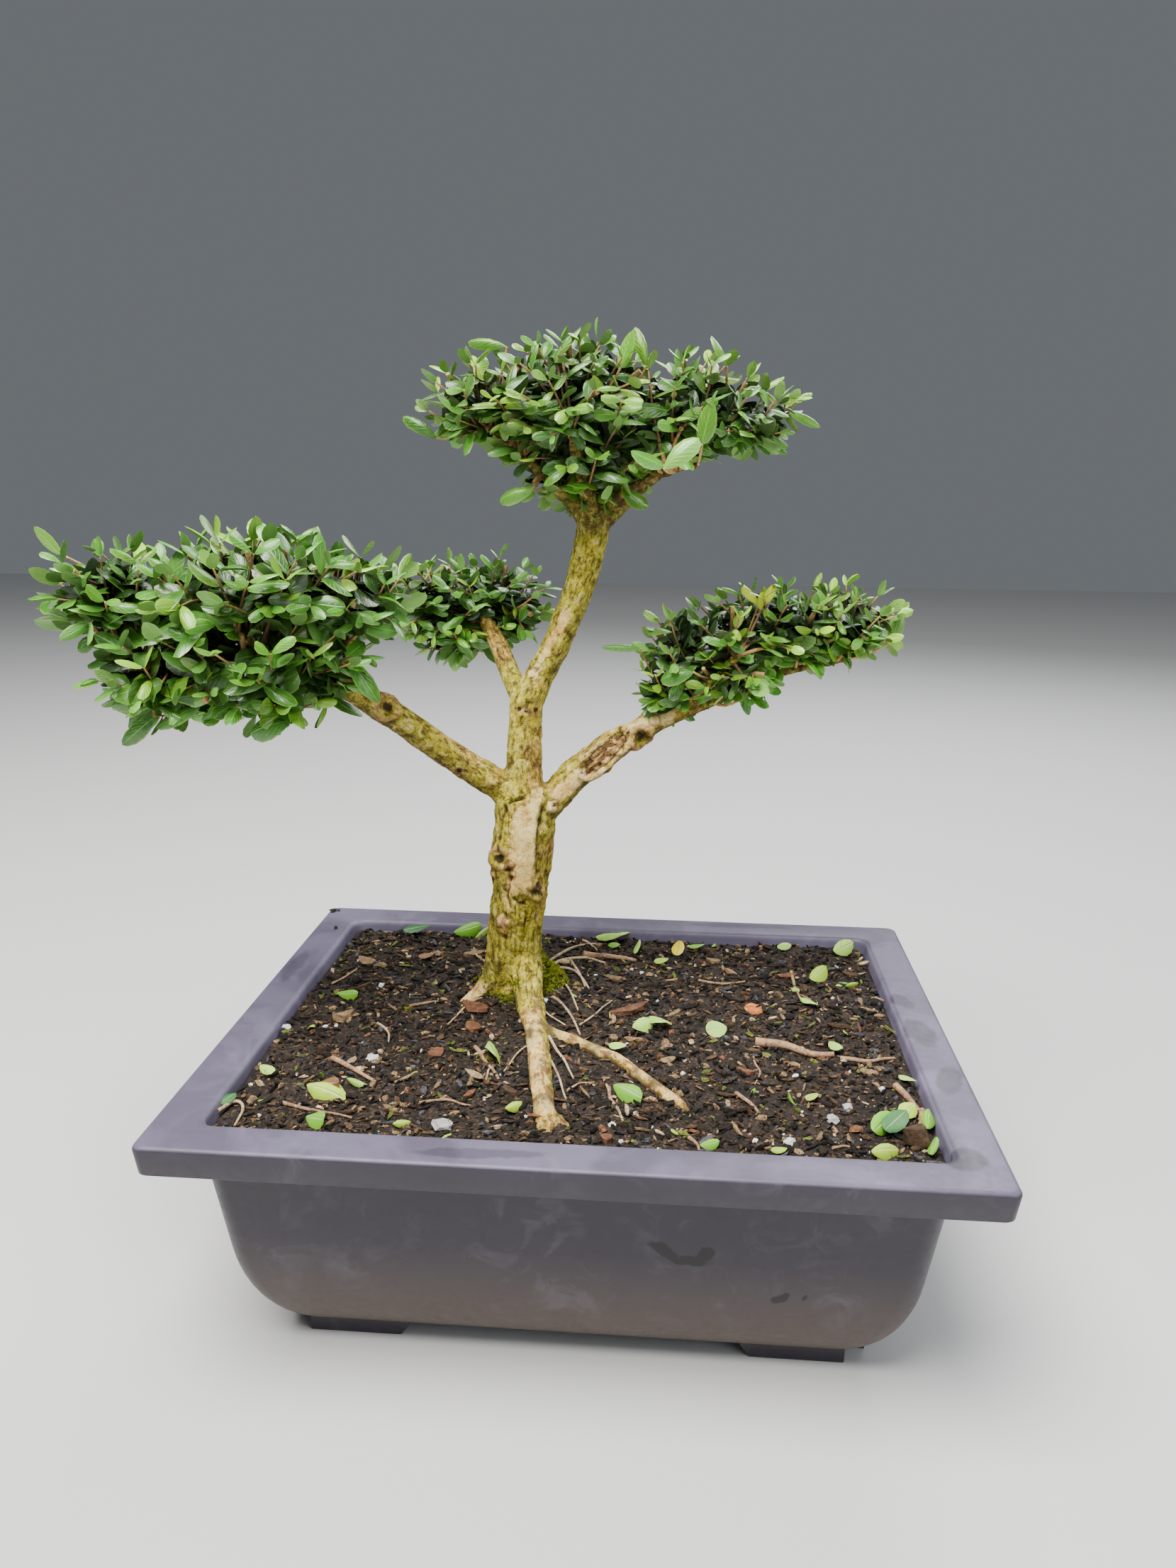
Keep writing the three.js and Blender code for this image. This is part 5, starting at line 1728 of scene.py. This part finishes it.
def crumb_material(name, contrast, scale, roughness):
    """Loose bits, each in its own tint, with a darker and a lighter mottle."""
    material, tree, shader = new_material(name)
    tint = attribute(tree, "tint", "Color")
    fine = noise_of(tree, object_place(tree), scale, 4, 0.65)
    mottle = ramp(tree, fine, 0.34, 0.66, 1 - contrast, 1 + contrast)
    colour = shaded(tree, tint, mottle)
    relief = bump(tree, fine, 0.5 * MM, 0.8)
    connect(tree, shader, Base_Color=colour, Roughness=roughness, Normal=relief,
            Specular_IOR_Level=0.25)
    return material


class BONSAI_OT_soil(bpy.types.Operator):
    """Covers the packed soil with crumbs, flakes and grit"""
    bl_idname = "bonsai.soil"
    bl_label = "Soil"

    def execute(self, context):
        soil = context.scene.bonsai_soil
        draw = random.Random(31)
        peat = soil_material(soil)
        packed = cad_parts["soil"]
        packed.material_slots[0].material = peat
        bed = model_soil_bed(soil)
        dress(bed, "soil_bed", peat)

        lumps = [model_lump(draw, 1, flatness) for flatness in (0.55, 0.7, 0.8, 0.9, 1.0)]
        places, tints = strew(
            bed, draw, lumps, soil.crumb_count, size_of=lambda: 1.2 + 2.8 * draw.random() ** 2.8,
            stretch=((0.9, 2.1), (0.5, 1.0), (0.4, 0.9)), tilt=180, sink=0.2)
        for (x, y), size in RIM_CRUMBS:
            shape = Matrix.Diagonal((1.2 * size * MM, 0.9 * size * MM, 0.7 * size * MM, 1))
            place = at((x, y, POT_SIZE.z / MM + 0.25 * size))
            places.append((0, Matrix.Translation(place) @ random_turn(draw, 10) @ shape))
            tints.append((*SOIL_TONES["peat"][0], 1))
        crumbs = scatter(lumps, places, tints)
        dress(crumbs, "soil_crumbs", crumb_material("crumbs", 0.75, 900, 0.85))

        chips = [model_chip(draw, 7, False) for _ in range(5)]
        places, tints = strew(
            bed, draw, chips, soil.flake_count, size_of=lambda: 2.6 + 6.5 * draw.random() ** 2.2,
            stretch=((0.8, 1.3), (0.14, 0.36), (0.08, 0.15)), tilt=34, sink=0.1)
        flakes = scatter(chips, places, tints)
        dress(flakes, "bark_flakes", crumb_material("flakes", 0.6, 700, 0.8))

        stones = [model_lump(draw, 2, flatness) for flatness in (0.7, 0.85)]
        places, tints = strew(
            bed, draw, stones, soil.grit_count, size_of=lambda: draw.uniform(0.9, 2.1),
            stretch=((0.8, 1.2), (0.8, 1.1), (0.8, 1.0)), tilt=180, sink=0.25)
        tints = [varied(draw, GRIT_TONE, 0.2) for _ in tints]
        for (x, y), size, light in STONES:
            ground, normal = ground_under(bed, at((x, y, 0)))
            size *= MM
            shape = Matrix.Diagonal((size * 1.15, size * 0.9, size * 0.8, 1))
            place = Matrix.Translation(ground + normal * 0.2 * size)
            matrix = place @ random_turn(draw, 40) @ shape
            places.append((draw.randrange(2), matrix))
            tints.append((light, light * 0.97, light * 0.91, 1))
        grit = scatter(stones, places, tints)
        dress(grit, "grit", crumb_material("grit", 0.16, 900, 0.7))
        discard([*lumps, *chips, *stones])
        return {'FINISHED'}


def fallen_leaf_material():
    """Leaves in the tint of their age, blotched and with a pale midrib."""
    material, tree, shader = new_material("fallen leaf")
    tint = attribute(tree, "tint", "Color")
    _, off_rib = leaf_place(tree)
    rib = ramp(tree, off_rib, 0.07, 0.0)
    blotch = noise_of(tree, object_place(tree), 260, 4, 0.6)
    colour = lay(tree, tint, (blotch, 0.60, 0.72, 0.7, BLOTCH))
    colour = mix(tree, times(tree, rib, 0.5), colour, OLD_RIB)
    relief = bump(tree, less(tree, blotch, rib), 0.4 * MM, 0.7)
    connect(tree, shader, Base_Color=colour, Roughness=0.5, Normal=relief)
    return material


def lie_down(bed, line, lift=0.4):
    """A twig's line laid on the bed: points in the frame's millimetres with their radius."""
    thick, *places = line
    steps = 13
    laid = []
    noise.seed_set(TWIG_SEED)
    for index in range(steps):
        share = index / (steps - 1) * (len(places) - 1)
        first = min(int(share), len(places) - 2)
        x, y = Vector(places[first]).lerp(places[first + 1], share - first)
        swing = noise.noise_vector(Vector((x, y, thick)) / 9)
        x, y = x + 1.8 * swing.x, y + 1.8 * swing.y
        ground, _ = ground_under(bed, at((x, y, 0)))
        radius = thick * (1 - 0.45 * index / (steps - 1))
        laid.append([Vector((x, y, ground.z / MM + 0.7 * radius + lift)), radius])
    for _ in range(3):
        for before, here, after in zip(laid, laid[1:], laid[2:]):
            here[0] = here[0] / 2 + (before[0] + after[0]) / 4
    return laid


def fallen_leaves(bed, draw, kinds):
    """Where the fallen leaves lie, and their tints. Small ones are strewn among the large."""
    places, tints = [], []
    for foot, tip, width, tone, lift in FALLEN_LEAVES:
        low, high = at((*foot, 0)), at((*tip, 0))
        ground = max(ground_under(bed, end)[0].z for end in (low, high))
        raised = 0.32 * width * (high - low).length + 0.9 * MM
        low.z, high.z = ground + raised, ground + raised + lift * MM
        facing = Vector((draw.uniform(-0.3, 0.3), draw.uniform(-1.1, -0.5), 1))
        matrix = leaf_matrix(low, high - low, facing, (high - low).length, width)
        places.append((draw.randrange(kinds), matrix))
        tints.append(varied(draw, LEAF_TONES[tone], 0.12))
    for _ in range(SMALL_LEAVES):
        spot = random_spot(draw, 4)
        ground, normal = ground_under(bed, spot)
        heading = Vector((draw.uniform(-1, 1), draw.uniform(-1, 1), draw.uniform(-0.2, 0.5)))
        size = draw.uniform(2.5, 6) * MM
        facing = normal + random_direction(draw) * 0.4
        width = draw.uniform(0.3, 0.6)
        matrix = leaf_matrix(ground + normal * 0.6 * MM, heading, facing, size, width)
        places.append((draw.randrange(kinds), matrix))
        tone = draw.choice(("lime", "brown", "brown", "bright", "pale", "dark"))
        tints.append(varied(draw, LEAF_TONES[tone], 0.3))
    return places, tints


def bark_chips(bed, draw, kinds):
    """Where the bark chips lie, and their tints."""
    places, tints = [], []
    for start, end, width, thickness, tone in CHIPS:
        start, end = at((*start, 0)), at((*end, 0))
        ground, normal = ground_under(bed, (start + end) / 2)
        shape = Matrix.Diagonal(((end - start).length, width * MM, thickness * MM, 1))
        turn = leaf_matrix(ground + normal * 0.35 * thickness * MM, end - start, normal, 1)
        places.append((draw.randrange(kinds), turn @ shape))
        colour = SOIL_TONES[tone][0] if tone in SOIL_TONES else LEAF_TONES[tone]
        tints.append(varied(draw, colour, 0.1))
    return places, tints


class BONSAI_OT_litter(bpy.types.Operator):
    """Lays fallen leaves, bark chips and twigs on the soil"""
    bl_idname = "bonsai.litter"
    bl_label = "Litter"

    def execute(self, context):
        bed = bpy.data.objects["soil_bed"]
        draw = random.Random(17)
        patterns = [model_leaf(1.0, form) for form in LEAF_FORMS]
        leaves = scatter(patterns, *fallen_leaves(bed, draw, len(patterns)))
        dress(leaves, "fallen_leaves", fallen_leaf_material())
        discard(patterns)

        patterns = [model_chip(draw) for _ in range(5)]
        chips = scatter(patterns, *bark_chips(bed, draw, len(patterns)))
        dress(chips, "bark_chips", crumb_material("bark chips", 0.5, 420, 0.75))
        discard(patterns)

        twigs = tube_piece([lie_down(bed, line) for line in FALLEN_TWIGS], 2)
        dress(twigs, "fallen_twigs", thin_bark_material(
            "fallen twig", (0.16, 0.085, 0.045), (0.40, 0.235, 0.12)))
        return {'FINISHED'}


class BONSAI_OT_rootlets(bpy.types.Operator):
    """Runs thin roots from the trunk over the soil"""
    bl_idname = "bonsai.rootlets"
    bl_label = "Rootlets"

    def execute(self, context):
        bed = bpy.data.objects["soil_bed"]
        roots = tube_piece([lie_down(bed, line, 0.8) for line in ROOTLETS], 2)
        dress(roots, "rootlets", thin_bark_material(
            "rootlet", (0.24, 0.155, 0.07), (0.56, 0.43, 0.24)))
        return {'FINISHED'}


def model_tuft(draw):
    """A tuft of pointed moss blades a unit high."""
    blades = []
    for _ in range(7):
        lean = Matrix.Rotation(math.radians(draw.uniform(5, 48)), 4, 'X')
        turn = Matrix.Rotation(draw.uniform(0, math.tau), 4, 'Z')
        bpy.ops.mesh.primitive_cone_add(vertices=3, radius1=0.13, radius2=0, depth=1)
        blade = bpy.context.object
        for point in blade.data.vertices:
            point.co = turn @ lean @ (Vector((0, 0, 0.4)) + point.co * draw.uniform(0.8, 1))
        blades.append(blade)
    return join(blades)


def moss_spots(surfaces, draw, kinds):
    """Where the tufts of moss stand, and their tints."""
    places, tints = [], []
    down = Vector((0, 0, -1))
    for (x, y), reach, heap, count, length in MOSS_SPOTS:
        for _ in range(count):
            away = reach * draw.random() ** 0.6
            turn = draw.uniform(0, math.tau)
            spot = at((x + away * math.cos(turn), y + away * math.sin(turn), 0))
            spot.z = MOSS_PLUMB * MM
            hits = [thing.ray_cast(spot, down) for thing in surfaces]
            place, normal = max(((place, normal) for hit, place, normal, _ in hits if hit),
                                key=lambda found: found[0].z)
            place = place + Vector((0, 0, heap * MM * max(0, 1 - (away / reach) ** 2)))
            size = length * MM * draw.uniform(0.6, 1.2) * (1.15 - 0.5 * away / reach)
            upright = (normal + Vector((0, 0, 0.8))).normalized()
            turned = upright.to_track_quat('Z', 'Y').to_matrix().to_4x4()
            turned = turned @ random_turn(draw, 12) @ Matrix.Scale(size, 4)
            places.append((draw.randrange(kinds), Matrix.Translation(place) @ turned))
            tone = FRESH_MOSS if draw.random() < 0.75 else OLD_MOSS
            tints.append(varied(draw, tone, 0.45))
    return places, tints


class BONSAI_OT_moss(bpy.types.Operator):
    """Grows moss at the foot of the trunk"""
    bl_idname = "bonsai.moss"
    bl_label = "Moss"

    def execute(self, context):
        draw = random.Random(3)
        surfaces = [bpy.data.objects["soil_bed"], bpy.data.objects["trunk_and_limbs"]]
        tufts = [model_tuft(draw) for _ in range(4)]
        moss = scatter(tufts, *moss_spots(surfaces, draw, len(tufts)))
        dress(moss, "moss", crumb_material("moss", 0.3, 1400, 0.9))
        discard(tufts)
        return {'FINISHED'}


# The stage

# The camera's place in millimetres from the pot's middle, and what it looks along
CAMERA_PLACE = (32.93, -473.34, 324.08)
CAMERA_AHEAD = Vector((-0.07265, 0.96814, -0.23963))
CAMERA_UP = Vector((-0.02876, 0.23813, 0.97081))
CAMERA_LENS = 26.9
SENSOR_HEIGHT = 36

# Soft lights in metres: name, place, width, power as a share of the key light's, colour
LIGHTS = (
    ("key", (-0.32, -0.5, 1.58), 1.2, 1.0, (1.0, 0.985, 0.96)),
    ("fill", (1.2, -1.0, 0.9), 1.3, 0.14, (0.95, 0.97, 1.0)),
    ("back", (0.5, 1.2, 1.3), 1.0, 0.26, (0.95, 0.97, 1.0)),
)
LIGHT_TARGET = Vector((0, 0, 0.2))
FLOOR_WIDTH = 8
SKY_COLOUR = (0.86, 0.93, 1.0)


def add_light(name, place, size, power, colour):
    """Adds a round soft light that points at the tree."""
    light = bpy.data.lights.new(name, 'AREA')
    light.shape = 'DISK'
    light.size = size
    light.energy = power
    light.color = colour
    lamp = bpy.data.objects.new(name, light)
    bpy.context.collection.objects.link(lamp)
    lamp.location = place
    lamp.rotation_euler = (LIGHT_TARGET - Vector(place)).to_track_quat('-Z', 'Y').to_euler()


class BONSAI_OT_stage(bpy.types.Operator):
    """Sets up the floor, the soft light and the camera"""
    bl_idname = "bonsai.stage"
    bl_label = "Floor, light and camera"

    def execute(self, context):
        stage = context.scene.bonsai_stage
        bpy.ops.mesh.primitive_plane_add(size=FLOOR_WIDTH, location=(0, 0, 0))
        floor = context.object
        floor.name = "floor"
        material, tree, shader = new_material("floor")
        connect(tree, shader, Base_Color=(*stage.floor, 1), Roughness=0.8)
        floor.data.materials.append(material)

        world = bpy.data.worlds.new("sky")
        world.use_nodes = True
        sky = world.node_tree.nodes["Background"]
        sky.inputs["Color"].default_value = (*SKY_COLOUR, 1)
        sky.inputs["Strength"].default_value = stage.sky_strength
        context.scene.world = world
        for name, place, size, share, colour in LIGHTS:
            add_light(name, place, size, stage.key_power * share, colour)

        lens = bpy.data.cameras.new("camera")
        lens.sensor_fit = 'VERTICAL'
        lens.sensor_height = SENSOR_HEIGHT
        lens.lens = CAMERA_LENS
        camera = bpy.data.objects.new("camera", lens)
        context.collection.objects.link(camera)
        turn = Matrix((CAMERA_AHEAD.cross(CAMERA_UP), CAMERA_UP, -CAMERA_AHEAD)).transposed()
        camera.matrix_world = Matrix.Translation(at(CAMERA_PLACE)) @ turn.to_4x4()
        context.scene.camera = camera
        return {'FINISHED'}


class BONSAI_PT_sidebar(bpy.types.Panel):
    """Lists the sizes, the colours and the steps that make the tree"""
    bl_label = "Honeysuckle Bonsai"
    bl_idname = "BONSAI_PT_sidebar"
    bl_space_type = 'VIEW_3D'
    bl_region_type = 'UI'
    bl_category = "Bonsai"

    def draw(self, context):
        for name, operators in STEPS.items():
            box = self.layout.box()
            settings = getattr(context.scene, name)
            for field in settings.__annotations__:
                box.prop(settings, field)
            for operator in operators:
                box.operator(operator.bl_idname)


STEPS = {
    "bonsai_pot": (BONSAI_OT_pot,),
    "bonsai_soil": (BONSAI_OT_soil, BONSAI_OT_litter),
    "bonsai_wood": (BONSAI_OT_wood, BONSAI_OT_rootlets, BONSAI_OT_moss),
    "bonsai_foliage": (BONSAI_OT_foliage,),
    "bonsai_stage": (BONSAI_OT_stage,),
}
SETTINGS = {
    "bonsai_pot": PotSettings,
    "bonsai_soil": SoilSettings,
    "bonsai_wood": WoodSettings,
    "bonsai_foliage": FoliageSettings,
    "bonsai_stage": StageSettings,
}


def register():
    """Registers the settings, the operators and the panel."""
    for name, group in SETTINGS.items():
        bpy.utils.register_class(group)
        setattr(bpy.types.Scene, name, PointerProperty(type=group))
    for operators in STEPS.values():
        for operator in operators:
            bpy.utils.register_class(operator)
    bpy.utils.register_class(BONSAI_PT_sidebar)


def unregister():
    """Takes back what register did."""
    bpy.utils.unregister_class(BONSAI_PT_sidebar)
    for operators in STEPS.values():
        for operator in operators:
            bpy.utils.unregister_class(operator)
    for name, group in SETTINGS.items():
        delattr(bpy.types.Scene, name)
        bpy.utils.unregister_class(group)


def main():
    """Makes the tree piece by piece."""
    register()
    bpy.ops.object.select_all(action='DESELECT')
    bpy.ops.bonsai.pot()
    bpy.ops.bonsai.soil()
    bpy.ops.bonsai.wood()
    bpy.ops.bonsai.rootlets()
    bpy.ops.bonsai.moss()
    bpy.ops.bonsai.litter()
    for pad in PADS:
        bpy.ops.bonsai.foliage(pad=pad)
    bpy.ops.bonsai.stage()


if __name__ == "__main__":
    main()
